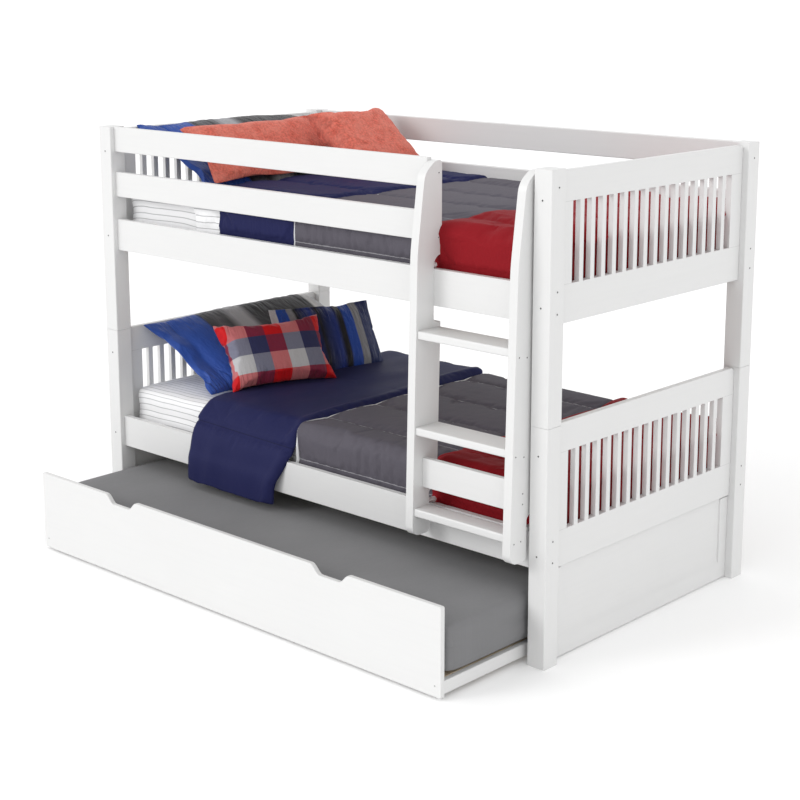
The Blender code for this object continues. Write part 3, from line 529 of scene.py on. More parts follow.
def board(node, bm, finishes, body="bed_frame", slot="white_paint", ending="painted"):
    """The finished copy of a wooden node, its broad faces kept flat beside the rounded edges."""
    obj = piece(f"{node}_{ending}", bm, finishes, body, slot, [node], smooth=40)
    modifier = obj.modifiers.new("Flat faces", "WEIGHTED_NORMAL")
    modifier.weight = 100
    modifier.keep_sharp = True


def copied(node):
    """A merged copy of a node's solid, with its flat faces whole again."""
    bm = bmesh.new()
    bm.from_mesh(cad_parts[node].data)
    bmesh.ops.remove_doubles(bm, verts=bm.verts, dist=weld)
    bmesh.ops.dissolve_limit(bm, angle_limit=radians(0.4), verts=bm.verts, edges=bm.edges)
    return bm


def round_over(bm, radius, segments, test):
    """Rounds the sharp edges whose ends and middle pass a test."""
    bm.normal_update()
    sharp = [edge for edge in bm.edges if len(edge.link_faces) == 2
        and abs(edge.calc_face_angle(0)) > radians(50) and test(edge)]
    bmesh.ops.bevel(bm, geom=sharp, offset=radius, offset_type="OFFSET", segments=segments, profile=0.5,
        affect="EDGES", clamp_overlap=True, material=-1)


def box_of(bm):
    """Lowest and highest corners of a bmesh."""
    columns = list(zip(*(vert.co for vert in bm.verts)))
    return Vector(min(column) for column in columns), Vector(max(column) for column in columns)


def runs_along(axis, least):
    """A test for edges longer than a least length that run along an axis."""

    def test(edge):
        """Whether one edge passes."""
        run = edge.verts[1].co - edge.verts[0].co
        return abs(run[axis]) > 0.999 * run.length and run.length > least

    return test


def in_side(axis, places):
    """A test for edges that lie in a plane at one of some places on an axis."""

    def test(edge):
        """Whether one edge passes."""
        return any(all(abs(vert.co[axis] - place) < 1e-5 for vert in edge.verts) for place in places)

    return test


def ease_board(bm, along, radius, end_radius):
    """Rounds a board's long edges well, and its butting ends a little."""
    axis = "XYZ".index(along)
    at_end = in_side(axis, [corner[axis] for corner in box_of(bm)])
    round_over(bm, radius, 3, runs_along(axis, 0.02))
    round_over(bm, end_radius, 1, at_end)


def ease_rim(bm, axis, radius):
    """Rounds the outlines of both flat sides of a cut-out board."""
    round_over(bm, radius, 3, in_side(axis, [corner[axis] for corner in box_of(bm)]))


def mesh_of_curve(name, points, radius, swell):
    """A closed tube along points, as a bmesh, each point with its own share of the radius."""
    curve = bpy.data.curves.new(name, "CURVE")
    curve.dimensions = "3D"
    curve.bevel_depth = radius
    curve.bevel_resolution = 3
    curve.use_fill_caps = True
    spline = curve.splines.new("POLY")
    spline.points.add(len(points) - 1)
    for target, point, share in zip(spline.points, points, swell):
        target.co = (*point, 1)
        target.radius = share
    obj = linked(name, curve)
    bpy.context.view_layer.update()
    mesh = bpy.data.meshes.new_from_object(obj.evaluated_get(bpy.context.evaluated_depsgraph_get()))
    bm = bmesh.new()
    bm.from_mesh(mesh)
    bpy.data.objects.remove(obj)
    bpy.data.meshes.remove(mesh)
    bmesh.ops.remove_doubles(bm, verts=bm.verts, dist=radius / 50)
    bmesh.ops.recalc_face_normals(bm, faces=bm.faces)
    return bm


def lay_cloth(bm, where, layer="cloth"):
    """Gives every corner its place on the cloth, from its vertex."""
    uv = bm.loops.layers.uv.get(layer) or bm.loops.layers.uv.new(layer)
    for face in bm.faces:
        for loop in face.loops:
            loop[uv].uv = where(loop.vert)


def wave(place, scale, seed=0.0):
    """Smooth noise of about -1 to 1 at a place."""
    return noise.noise(Vector(place) * scale + Vector((seed, 1.7 * seed, -seed)))


def soft_step(value):
    """A smooth rise from 0 to 1."""
    value = min(max(value, 0.0), 1.0)
    return value * value * (3 - 2 * value)


# Cloth


def blow_up(obj, pressure, growth, cap, pinned=()):
    """Fills a cover or a quilt a little, with cloth to spare between its pinned points."""
    start = [vert.co.copy() for vert in obj.data.vertices]
    cloth = obj.modifiers.new("Filling", "CLOTH")
    values = {"quality": 5, "mass": 0.3, "tension_stiffness": 15, "compression_stiffness": 15,
        "shear_stiffness": 5, "bending_stiffness": 0.05, "shrink_min": -growth, "use_pressure": True,
        "uniform_pressure_force": pressure}
    for key, value in values.items():
        setattr(cloth.settings, key, value)
    cloth.settings.effector_weights.gravity = 0
    if pinned:
        pins = obj.vertex_groups.new(name="pins")
        pins.add(list(pinned), 1.0, "REPLACE")
        cloth.settings.vertex_group_mass = "pins"
    cloth.point_cache.frame_start = 1
    cloth.point_cache.frame_end = 20
    scene = bpy.context.scene
    for number in range(1, 21):
        scene.frame_set(number)
    evaluated = obj.evaluated_get(bpy.context.evaluated_depsgraph_get())
    moved = [vert.co.copy() for vert in evaluated.data.vertices]
    obj.modifiers.remove(cloth)
    for vert, old, new in zip(obj.data.vertices, start, moved):
        step = new - old
        if step.length > cap:
            step *= cap / step.length
        vert.co = old + step
    if pinned:
        obj.vertex_groups.clear()
    scene.frame_set(1)


# Boards


class BUNKBED_OT_boards(bpy.types.Operator):
    """Rounds and paints the posts, rails, guards, treads and the tray's rails"""

    bl_idname = "bunkbed.boards"
    bl_label = "Boards"

    def execute(self, context):
        timber = settings("timber")
        paints = {along: painted(f"paint_{along}", along) for along in "XYZ"}
        ends = ("front", "rear")
        sides = ("left", "right")
        posts = [f"{tier}_post_{end}_{side}" for tier in ("lower", "upper") for end in ends for side in sides]
        rails = [f"{tier}_side_rail_{end}" for tier in ("lower", "upper") for end in ends]
        guards = [f"guard_{level}_{end}" for level in ("top", "low") for end in ends]
        treads = [f"ladder_tread_{number}" for number in (1, 2, 3)]
        rows = ((posts, "Z", timber.post_round, "bed_frame"),
            (rails + guards + ["ladder_cross_board"], "X", timber.board_round, "bed_frame"),
            (treads, "X", timber.tread_round, "bed_frame"),
            (["trundle_rear_rail"], "X", timber.board_round, "trundle"),
            ([f"trundle_side_rail_{side}" for side in sides], "Y", timber.board_round, "trundle"))
        for nodes, along, radius, body in rows:
            for node in nodes:
                bm = copied(node)
                ease_board(bm, along, radius, timber.end_round)
                board(node, bm, [paints[along]], body)
        return {"FINISHED"}


class BUNKBED_OT_panels(bpy.types.Operator):
    """Rounds and paints the slatted end panels, the skirts and the trundle's front"""

    bl_idname = "bunkbed.panels"
    bl_label = "Panels"

    def execute(self, context):
        for tier in ("lower", "upper"):
            for side, outer, inner in (("left", 0, 1), ("right", 1, 0)):
                node = f"{tier}_end_panel_{side}"
                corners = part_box(node)
                low, high = corners
                slot_low = low.z + panel_bottom_rail
                slot_high = high.z - panel_top_rail
                reach = (high.y - low.y) / 2 - panel_stile
                joints = [(2, place, 1, bed_middle, reach) for place in (slot_low, slot_high)]
                paint = painted(f"paint_{node}", "Y", joints)
                outside = in_side(0, [corners[outer].x])
                inside = in_side(0, [corners[inner].x])

                def in_slots(edge):
                    """Whether an edge belongs to the slots."""
                    middle = (edge.verts[0].co + edge.verts[1].co) / 2
                    level = slot_low - 0.002 < middle.z < slot_high + 0.002
                    return level and abs(middle.y - bed_middle) < reach + 0.002

                def in_rim(edge):
                    """Whether an edge belongs to the outline of either face."""
                    return not in_slots(edge) and (outside(edge) or inside(edge))

                bm = copied(node)
                round_over(bm, 0.0013, 2, lambda edge: in_slots(edge) and outside(edge))
                round_over(bm, 0.0025, 3, in_rim)
                board(node, bm, [paint])
        flat = painted("paint_flat", "Y")
        for side in ("left", "right"):
            bm = copied(f"skirt_panel_{side}")
            round_over(bm, 0.0008, 2, lambda edge: True)
            board(f"skirt_panel_{side}", bm, [flat])
        bm = copied("trundle_front")
        ease_rim(bm, 1, 0.0028)
        board("trundle_front", bm, [painted("paint_front", "X")], "trundle")
        return {"FINISHED"}


class BUNKBED_OT_stringers(bpy.types.Operator):
    """Rounds and paints the ladder's stringers, with the pale sleeves of their hook pins"""

    bl_idname = "bunkbed.stringers"
    bl_label = "Stringers"

    def execute(self, context):
        paint = painted("paint_stringers", "Z")
        sleeve = plastic("pin_sleeve", (0.80, 0.80, 0.80))
        rails = ("lower_side_rail_front", "upper_side_rail_front")
        pin_heights = [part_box(rail)[1].z + pin_rise for rail in rails]
        for side in ("left", "right"):
            node = f"ladder_stringer_{side}"
            bm = copied(node)
            low, high = box_of(bm)
            ease_rim(bm, 0, 0.0034)
            middle = (low.x + high.x) / 2
            for face in bm.faces:
                centre = face.calc_center_median()
                off = min(hypot(centre.x - middle, centre.z - height) for height in pin_heights)
                round_face = abs(face.normal.y) < 0.5 or centre.y > front_face + 0.03
                if off < pin_reach and centre.y > front_face - 0.0015 and round_face:
                    face.material_index = 1
            board(node, bm, [paint, sleeve])
        return {"FINISHED"}


class BUNKBED_OT_slats(bpy.types.Operator):
    """Rounds the bare slats and finishes the dowels between the posts"""

    bl_idname = "bunkbed.slats"
    bl_label = "Slats and dowels"

    def execute(self, context):
        wood = pine()
        for node in ("lower_slat_deck", "upper_slat_deck", "trundle_slat_deck"):
            bm = copied(node)
            round_over(bm, 0.002, 2, runs_along(1, 0.05))
            body = "trundle" if node.startswith("trundle") else "bed_frame"
            board(node, bm, [wood], body, "bare_wood", "bare")
        for node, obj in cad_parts.items():
            if node.startswith("post_dowel"):
                obj.data.materials[0] = wood
        return {"FINISHED"}


class BUNKBED_OT_casters(bpy.types.Operator):
    """Finishes the brackets and wheels under the trundle"""

    bl_idname = "bunkbed.casters"
    bl_label = "Casters"

    def execute(self, context):
        steel = metal("bracket_steel", (0.55, 0.56, 0.58), 0.34)
        rubber = plastic("wheel_plastic", (0.05, 0.05, 0.052))
        for node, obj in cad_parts.items():
            if node.startswith("caster_bracket"):
                obj.data.materials[0] = steel
            if node.startswith("caster_wheel"):
                obj.data.materials[0] = rubber
        return {"FINISHED"}


def add_bolt(bm, point, normal, radius):
    """A low ring around a flat middle disc of the second material, seated in a board's face; the disc has no
    hollow and stands in for the bolt's socket or plug.
    """
    profile = ((0.0, 0.0002), (0.40, 0.0002), (0.46, 0.0006), (0.80, 0.0007), (1.0, 0.0002),
        (1.0, -0.0020), (0.0, -0.0020))
    others = set(bm.verts)
    verts = [bm.verts.new((share * radius, 0, height)) for share, height in profile]
    edges = [bm.edges.new(pair) for pair in zip(verts, verts[1:])]
    bmesh.ops.spin(bm, geom=verts + edges, cent=(0, 0, 0), axis=(0, 0, 1), angle=2 * pi, steps=16,
        use_merge=True, use_duplicate=False)
    own = [vert for vert in bm.verts if vert not in others]
    turn = Vector((0, 0, 1)).rotation_difference(Vector(normal)).to_matrix().to_4x4()
    for face in {face for vert in own for face in vert.link_faces}:
        centre = face.calc_center_median()
        # Faces of the flat middle disc; on the bed's bolts it is painted near black as shade for a socket's
        # hollow
        in_shaded_socket = hypot(centre.x, centre.y) < 0.45 * radius and centre.z > 0
        face.material_index = 1 if in_shaded_socket else 0
    bmesh.ops.transform(bm, matrix=Matrix.Translation(point) @ turn, verts=own)


class BUNKBED_OT_bolts(bpy.types.Operator):
    """Sets the ringed bolts into the posts, the ladder and the trundle's front"""

    bl_idname = "bunkbed.bolts"
    bl_label = "Bolts"

    def execute(self, context):
        radius = settings("timber").bolt_radius
        small = 0.8 * radius
        rail_inset = 0.033
        end_inset = 0.0315
        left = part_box("ladder_stringer_left")
        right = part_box("ladder_stringer_right")
        low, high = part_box("trundle_front")
        bed = []
        for x in (head_end + rail_inset, foot_end - rail_inset):
            for y, way in ((front_face, -1), (rear_face, 1)):
                bed += [((x, y, z), (0, way, 0), radius) for z in (0.343, 0.645, 1.076, 1.380)]
        for x, way in ((head_end, -1), (foot_end, 1)):
            for y in (front_face + end_inset, rear_face - end_inset):
                bed += [((x, y, z), (way, 0, 0), radius) for z in (0.324, 0.389, 1.058, 1.122, 1.416)]
        tread_bolts = ((-0.046, 0.936), (-0.011, 0.931), (-0.056, 0.647), (-0.019, 0.640),
            (-0.022, 0.531), (-0.022, 0.499), (-0.028, 0.388), (-0.059, 0.387))
        for reach, z in tread_bolts:
            bed.append(((right[1].x, front_face + reach, z), (1, 0, 0), small))
            bed.append(((left[0].x, front_face + reach, z), (-1, 0, 0), small))
        bed += [((left[1].x, front_face + 0.038, z), (1, 0, 0), small) for z in (1.229, 1.422)]
        tray = [((x, tray_front, low.z + 0.034), (0, -1, 0), radius)
            for x in (low.x + 0.022, high.x - 0.022)]
        ring = painted("bolt_ring", "Z")
        # The bed's bolts get a near-black flat disc: painted shade for the hollow of each hex socket, which
        # is not modelled
        rows = (("bed_bolts", bed, plastic("bolt_socket_painted_shade", (0.03, 0.03, 0.03)), "bed_frame"),
            ("trundle_bolts", tray, plastic("bolt_plug", (0.38, 0.38, 0.38)), "trundle"))
        for name, bolts, middle, body in rows:
            bm = bmesh.new()
            for bolt in bolts:
                add_bolt(bm, *bolt)
            bmesh.ops.remove_doubles(bm, verts=bm.verts, dist=0.00001)
            bmesh.ops.recalc_face_normals(bm, faces=bm.faces)
            piece(name, bm, [ring, middle], body, "white_paint", smooth=40)
        return {"FINISHED"}


# Bedding


class BUNKBED_OT_mattresses(bpy.types.Operator):
    """Covers the three mattresses"""

    bl_idname = "bunkbed.mattresses"
    bl_label = "Mattresses"

    def execute(self, context):
        bedding = settings("bedding")
        cotton = sheet_cotton()
        ticking = plain_cloth("grey_ticking", bedding.ticking, 0.9, 0.1, 700.0, 0.0008)
        rows = (("lower_mattress", cotton, "bed_frame", "fitted_sheet", 0.0012),
            ("upper_mattress", cotton, "bed_frame", "fitted_sheet", 0.0012),
            ("trundle_mattress", ticking, "trundle", "grey_ticking", 0.0006))
        for node, finish, body, slot, ripple in rows:
            low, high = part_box(node)
            middle = (low + high) / 2
            half = (high - low) / 2
            bm = bmesh.new()
            bm.from_mesh(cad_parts[node].data)
            bmesh.ops.remove_doubles(bm, verts=bm.verts, dist=weld)
            bmesh.ops.dissolve_degenerate(bm, dist=weld, edges=bm.edges)
            bmesh.ops.join_triangles(bm, faces=bm.faces, angle_face_threshold=radians(60),
                angle_shape_threshold=radians(60))
            bmesh.ops.subdivide_edges(bm, edges=bm.edges, cuts=3, use_grid_fill=True, smooth=0.0)
            for _ in range(3):
                bmesh.ops.smooth_vert(bm, verts=bm.verts, factor=0.5, use_axis_x=True, use_axis_y=True,
                    use_axis_z=True)
            bm.normal_update()
            for vert in bm.verts:
                at_side = vert.co.z < high.z - 0.03
                lines = wave((vert.co.x * 26, vert.co.y * 5, vert.co.z * 3), 1.0, 3.0)
                broad = wave(vert.co, 9.0, 5.0)
                vert.co += vert.normal * ripple * (0.8 * lines * at_side + broad - 0.6)
                if body == "bed_frame":
                    vert.co.x -= 0.018 * soft_step((low.x + 0.3 - vert.co.x) / 0.3)

            def where(vert):
                """Along the bed, and across it and down its sides."""
                fall = max(0.0, high.z - 0.012 - vert.co.z)
                across = vert.co.y - middle.y
                past = fall if abs(across) > half.y - 0.03 else 0.0
                return vert.co.x, vert.co.y + past * (1 if across > 0 else -1)

            lay_cloth(bm, where)
            obj = piece(f"{node}_covered", bm, [finish], body, slot, [node])
        return {"FINISHED"}


def over_edge(span, reach, radius):
    """Place beyond a middle and drop below the top of a point so far along a cloth."""
    flat = reach - radius
    arc = radius * pi / 2
    if span <= flat:
        return span, 0.0, 0.0
    if span <= flat + arc:
        turn = (span - flat) / radius
        return flat + radius * sin(turn), radius * (1 - cos(turn)), turn
    return reach, radius + span - flat - arc, pi / 2


def to_seam(span):
    """Distance from the nearest channel seam, so far across from the bed's middle."""
    share = (span - (channel_first - bed_middle)) / channel_pitch
    return abs(share - round(share)) * channel_pitch


def quilt_height(x, span, side_start, seed):
    """How far the quilt stands off its base: channels, puckers, wrinkles and the full foot."""
    bedding = settings("bedding")
    off = to_seam(span)
    puff = bedding.channel_puff * (sin(min(off / channel_pitch, 0.5) * pi)) ** 0.6
    pucker = wave((x * 42, span * 5, 0), 1.0, seed) * exp(-off / 0.02)
    broad = wave((x, span, 0), 6.0, seed + 4)
    fine = wave((x * 1.0, span * 2.2, 0), 17.0, seed + 9)
    side = soft_step((abs(span) - side_start) / 0.04)
    folds = wave((x * 30, span * 3.5, 0), 1.0, seed + 2) * side
    red = soft_step((x - red_start) / 0.05)
    folds_red = wave((x * 9, span * 4, 0), 1.0, seed + 6)
    height = puff + bedding.wrinkle * (0.45 * pucker + 1.1 * broad + 0.35 * fine + 0.5 * folds)
    if seed == quilt_seeds["upper"]:
        swing = soft_step((-span - side_start + 0.02) / 0.03)
        start = fold_head - 0.02 + (turned_sheet_end - fold_head + 0.02) * swing
        height += 0.009 * soft_step((fold_foot + 0.002 - x) / 0.012) * soft_step((x - start) / 0.010)
    height += red * (0.009 + 0.007 * broad + 0.004 * folds_red + 0.002 * fine)
    height -= 0.004 * exp(-abs(x - red_start) / 0.010)
    return height


def comforter_mesh(low, high, radius, drop, seed, pitch=0.0075):
    """A quilt's outer skin over a mattress, tucked down on three sides, as a bmesh."""
    reach_y = (high.y - low.y) / 2
    foot = high.x
    head = low.x
    middle_y = (low.y + high.y) / 2
    span_y = reach_y - radius + radius * pi / 2 + drop - radius
    span_x = foot - head - radius + radius * pi / 2 + drop - radius
    rows = round(2 * span_y / pitch)
    columns = round(span_x / pitch)
    bm = bmesh.new()
    bmesh.ops.create_grid(bm, x_segments=columns, y_segments=rows, size=1)
    uv = {}
    gone = []
    pinned = set()
    for vert in bm.verts:
        s = (vert.co.x + 1) / 2 * span_x
        t = vert.co.y * span_y
        x_off, x_drop, x_turn = over_edge(s, foot - head, radius)
        y_off, y_drop, y_turn = over_edge(abs(t), reach_y, radius)
        sign = 1 if t >= 0 else -1
        if x_drop > radius * 1.001 and y_drop > radius * 1.001:
            gone.append(vert)
            continue
        turned = Vector((sin(x_turn), sign * sin(y_turn), 0))
        up = cos(x_turn) * cos(y_turn)
        normal = Vector((turned.x, turned.y, up)).normalized()
        depth = max(x_drop, y_drop)
        point = Vector((head + x_off, middle_y + sign * y_off, high.z - depth))
        height = quilt_height(head + s, t, reach_y, seed)
        hem = soft_step((drop - depth) / 0.03)
        if depth > radius:
            height = min(height, 0.009 - 0.005 * soft_step((depth - radius) / 0.06))
        turned_in = max(0.0, 1 - (s / 0.012)) ** 2
        vert.co = point + normal * (height * hem - 0.010 * turned_in)
        uv[vert] = (head + s, middle_y + t)
        at_seam = to_seam(t) < 0.6 * pitch
        if at_seam or s < 0.006 or depth > drop - 0.035 or abs(head + s - fold_foot) < 0.004:
            pinned.add(vert)
    bmesh.ops.delete(bm, geom=gone, context="VERTS")
    lay_cloth(bm, uv.get)
    bmesh.ops.remove_doubles(bm, verts=bm.verts, dist=0.003)
    bm.normal_update()
    bm.verts.index_update()
    return bm, [vert.index for vert in bm.verts if vert in pinned]


def thicken(obj):
    """Gives a quilted cloth its thickness, inwards from its outer skin."""
    modifier = obj.modifiers.new("Thickness", "SOLIDIFY")
    modifier.thickness = quilt_thickness
    modifier.offset = -1


class BUNKBED_OT_comforters(bpy.types.Operator):
    """Lays the quilted comforters on both beds"""

    bl_idname = "bunkbed.comforters"
    bl_label = "Comforters"

    def execute(self, context):
        for tier, navy_end in (("lower", None), ("upper", fold_foot - 0.001)):
            node = f"{tier}_comforter"
            low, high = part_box(node)
            high = Vector((high.x - 0.001, high.y - 0.001, high.z - quilt_top_inset))
            low = Vector((low.x, low.y + 0.001, low.z))
            bm, stitches = comforter_mesh(low, high, quilt_radius, high.z - low.z, quilt_seeds[tier])
            finish = comforter_cloth(f"{node}_cloth", navy_end)
            obj = piece(f"{node}_quilted", bm, [finish], "bed_frame", "comforter_grey", [node])
            blow_up(obj, 1.5, 0.05, settings("bedding").cloth_give, stitches)
            thicken(obj)
        return {"FINISHED"}


def smooth_path(points, pitch):
    """Points at an even pitch along a smooth curve through some points."""
    padded_points = [points[0], *points, points[-1]]
    fine = []
    for p0, p1, p2, p3 in zip(padded_points, padded_points[1:], padded_points[2:], padded_points[3:]):
        for step in range(16):
            t = step / 16
            fine.append(0.5 * (2 * p1 + (p2 - p0) * t + (2 * p0 - 5 * p1 + 4 * p2 - p3) * t * t
                + (3 * p1 - p0 - 3 * p2 + p3) * t * t * t))
    fine.append(points[-1])
    spans = [0.0]
    for first, second in zip(fine, fine[1:]):
        spans.append(spans[-1] + (second - first).length)
    count = max(2, round(spans[-1] / pitch))
    even = []
    index = 0
    for step in range(count + 1):
        target = spans[-1] * step / count
        while index < len(spans) - 2 and spans[index + 1] < target:
            index += 1
        gap = spans[index + 1] - spans[index]
        even.append(fine[index].lerp(fine[index + 1], (target - spans[index]) / max(gap, 1e-9)))
    return even, spans[-1]


class BUNKBED_OT_turned_fold(bpy.types.Operator):
    """Turns the lower comforter's navy side over, with a flap down the front rail"""

    bl_idname = "bunkbed.turned_fold"
    bl_label = "Turned fold"

    def execute(self, context):
        node = "lower_comforter_fold"
        low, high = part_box(node)
        rail_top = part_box("lower_side_rail_front")[1].z
        rear = high.y - 0.002
        top = high.z + 0.002
        section = ((rear - 0.006, top - 0.158), (rear - 0.003, top - 0.083), (rear, top - 0.036),
            (rear - 0.010, top - 0.012), (rear - 0.036, top), (bed_middle + 0.2, top + 0.001),
            (bed_middle, top + 0.002), (bed_middle - 0.2, top + 0.001), (front_face + 0.143, top - 0.004),
            (front_face + 0.088, top - 0.020), (front_face + 0.044, top - 0.058),
            (front_face + 0.016, rail_top + 0.012), (front_face + 0.003, rail_top - 0.040),
            (front_face - 0.008, (rail_top + low.z) / 2), (front_face - 0.012, low.z + 0.001))
        path, run = smooth_path([Vector(point) for point in section], 0.007)
        wide = high.x - 0.001 - low.x
        columns = round(wide / 0.007)
        rows = len(path) - 1
        bm = bmesh.new()
        bmesh.ops.create_grid(bm, x_segments=columns, y_segments=rows, size=1)
        uv = {}
        pinned = []
        bm.verts.index_update()
        shoulder = next(index for index, point in enumerate(path) if point.x < front_face + 0.086)
        seam_start = shoulder / rows * run + 0.066 - seam_slope * low.x
        for vert in bm.verts:
            along = (vert.co.x + 1) / 2
            row = rows - round((vert.co.y + 1) / 2 * rows)
            here = path[row]
            before = path[max(row - 1, 0)]
            after = path[min(row + 1, rows)]
            tangent = (after - before).normalized()
            normal = Vector((0, tangent.y, -tangent.x))
            hang = max(0.0, (row - shoulder) / (rows - shoulder))
            front = here.x < front_face + 0.10
            width = wide - (0.055 * soft_step((hang - 0.25) / 0.6) if front else 0.0)
            x = low.x + along * width
            span = row / rows * run
            seam = exp(-(((span - seam_start - seam_slope * x) / 0.007) ** 2))
            broad = wave((x * 1.4, span * 0.8, 0), 7.0, 31.0)
            drapes = wave((x * 17, span * 1.5, 0), 1.0, 37.0) * soft_step(hang * 1.6)
            hem = wave((x * 34, 3.0, 0), 1.0, 41.0) * soft_step((hang - 0.85) / 0.15)
            from_edge = min(along, 1 - along) * width
            rolled = max(0.0, 1 - from_edge / 0.022) ** 2
            height = 0.003 * broad + 0.0045 * drapes - 0.0062 * seam * (along < 0.97)
            lift = 0.012 * soft_step((here.x - bed_middle) / 0.25) * max(0.0, normal.z)
            height += 0.0012 * hem + lift - (0.011 if front else 0.016 + lift) * rolled
            height += 0.004 * soft_step(1 - abs(from_edge - 0.03) / 0.03) * (along > 0.5)
            if front:
                height += 0.002 + 0.003 * hang
            point = Vector((x, here.x, here.y)) + normal * height
            if row == rows:
                point.z += 0.003 * hem + 0.003 * drapes + 0.003
            vert.co = point
            uv[vert] = (x, span)
            if seam > 0.4 or row < 4 or not front and from_edge < 0.01:
                pinned.append(vert.index)
        lay_cloth(bm, uv.get)
        bmesh.ops.recalc_face_normals(bm, faces=bm.faces)
        top_face = max(bm.faces, key=lambda face: face.calc_center_median().z)
        if top_face.normal.z < 0:
            bmesh.ops.reverse_faces(bm, faces=bm.faces)
        seam_place = (seam_start, seam_slope)
        navy = plain_cloth("navy_satin", settings("bedding").navy, 0.5, 0.01, 1000.0, 0.0005, seam_place)
        obj = piece("lower_comforter_turned", bm, [navy], "bed_frame", "comforter_navy", [node])
        blow_up(obj, 1.0, 0.02, 0.7 * settings("bedding").cloth_give, pinned)
        thicken(obj)
        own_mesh(obj)
        return {"FINISHED"}


class BUNKBED_OT_piping(bpy.types.Operator):
    """Runs the white piping between the navy and the charcoal"""

    bl_idname = "bunkbed.piping"
    bl_label = "Piping"

    def execute(self, context):
        finish = plain_cloth("piping_cotton", settings("bedding").piping, 0.8, 0.1, 700.0, 0.0004)
        for tier in ("lower", "upper"):
            low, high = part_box(f"{tier}_comforter")
            reach = (high.y - low.y) / 2 - 0.001
            top = high.z - quilt_top_inset
            span = reach + quilt_radius * (pi / 2 - 2) + top - low.z
            points = []
            swell = []
            steps = 260
            for step in range(steps + 1):
                t = (2 * step / steps - 1) * (span - 0.012)
                off, fall, turn = over_edge(abs(t), reach, quilt_radius)
                sign = 1 if t >= 0 else -1
                height = quilt_height(fold_foot + 0.003, t, reach, quilt_seeds[tier])
                normal = Vector((0, sign * sin(turn), cos(turn)))
                base = Vector((fold_foot + 0.003, bed_middle + sign * off, top - fall))
                hang = soft_step((fall - 0.02) / 0.09)
                base.x -= 0.004 * hang
                points.append(base + normal * (height - 0.001 * (1 - hang)))
                swell.append(0.62 + (1.7 if tier == "lower" else 0.3) * hang)
            bm = mesh_of_curve(f"{tier}_piping", points, 0.003, swell)
            lay_cloth(bm, lambda vert: (vert.co.x, vert.co.y + vert.co.z))
            piece(f"{tier}_piping", bm, [finish], "bed_frame", "fitted_sheet")
        return {"FINISHED"}


# Pillows: lean from lying flat, turn seen from above, width, height and thickness
pillow_table = {"lower_sham": (28, 0, 0.840, 0.446, 0.105),
    "striped_pillow": (57, 18, 0.410, 0.270, 0.078), "plaid_pillow": (52, 18, 0.412, 0.274, 0.080),
    "upper_sham": (28, 0, 0.840, 0.446, 0.105), "coral_pillow_left": (44, 0, 0.650, 0.276, 0.088),
    "coral_pillow_right": (40, 0, 0.372, 0.344, 0.105)}


def pillow_axes(lean, turn):
    """Matrix whose columns are a pillow's thickness, width and height directions."""
    tilt = Matrix.Rotation(radians(lean) - pi / 2, 3, "Y")
    about = Matrix.Rotation(-radians(turn), 3, "Z")
    return about @ tilt


def pillow_piece(node, finish, slot, crumple, pinch=0.05, flange=0.0, fuzz=0.0, growth=0.06):
    """A filled pillow in the place of its node: two faces sewn at their edges and blown up."""
    lean, turn, width, height, thick = pillow_table[node]
    axes = pillow_axes(lean, turn)
    low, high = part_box(node)
    centre = (low + high) / 2
    pitch = 0.0065 if width < 0.5 else 0.008
    columns = round(width / pitch)
    rows = round(height / pitch)
    seed = sum(ord(letter) for letter in node) % 50
    bm = bmesh.new()
    for way in (1, -1):
        made = bmesh.ops.create_grid(bm, x_segments=columns, y_segments=rows, size=1)["verts"]
        if way < 0:
            bmesh.ops.reverse_faces(bm, faces=list({face for vert in made for face in vert.link_faces}))
        for vert in made:
            u, v = vert.co.x, vert.co.y
            filled = min(max((u + 1 - flange) / (2 - flange) * 2 - 1, -1.0), 1.0)
            crown = (max(0.0, 1 - filled**4) * max(0.0, 1 - v**4)) ** 0.6
            loose = soft_step((flange + 0.15 - (u + 1)) / 0.2) if flange else 0.0
            across = width / 2 * u * (1 - pinch * (1 - v * v) * u * u)
            up = height / 2 * v * (1 - 1.4 * pinch * (1 - u * u) * v * v)
            if flange:
                droop = max(0.0, u) ** 4
                across -= 0.05 * width * droop * v**4
                up *= 1 + 0.05 * (1 - u * u) - 0.10 * droop
            seam = min((1 - abs(u)) * width / 2, (1 - abs(v)) * height / 2)
            along = across if (1 - abs(v)) * height < (1 - abs(u)) * width else up
            pucker = wave((along * 46, seam * 9, way), 1.0, seed) * exp(-seam / 0.035)
            pucker *= 1 - exp(-seam / 0.006)
            broad = wave((across, up, 0), 7.0, seed + 3)
            fold = wave((across * 4, up * 15, 0), 1.0, seed + 7) * loose
            least = 0.0025 * (1 - exp(-seam / 0.004))
            out = way * max(least, thick / 2 * crown + 1.5 * crumple * pucker)
            out += crumple * (0.8 * broad + 1.8 * fold)
            vert.co = (out, across, up)
    bmesh.ops.remove_doubles(bm, verts=bm.verts, dist=pitch / 6)
    bmesh.ops.recalc_face_normals(bm, faces=bm.faces)
    raw = linked(f"{node}_raw", mesh_of(node, bm))
    blow_up(raw, 4.0, growth, settings("pillows").swell)
    bm = bmesh.new()
    bm.from_mesh(raw.data)
    bpy.data.objects.remove(raw)
    bm.normal_update()
    local = {vert: vert.co.copy() for vert in bm.verts}
    for vert in bm.verts:
        vert.co = centre + axes @ (vert.co + vert.normal * fuzz * wave(vert.co, 240.0))
    lay_cloth(bm, lambda vert: (local[vert].y, local[vert].z))
    lay_cloth(bm, lambda vert: (0.5 + local[vert].y / width, 0.5 + local[vert].z / height), "face")
    obj = piece(f"{node}_filled", bm, [finish], "bed_frame", slot, [node])
    smoother = obj.modifiers.new("Surface", "SUBSURF")
    smoother.levels = 1
    smoother.render_levels = 1


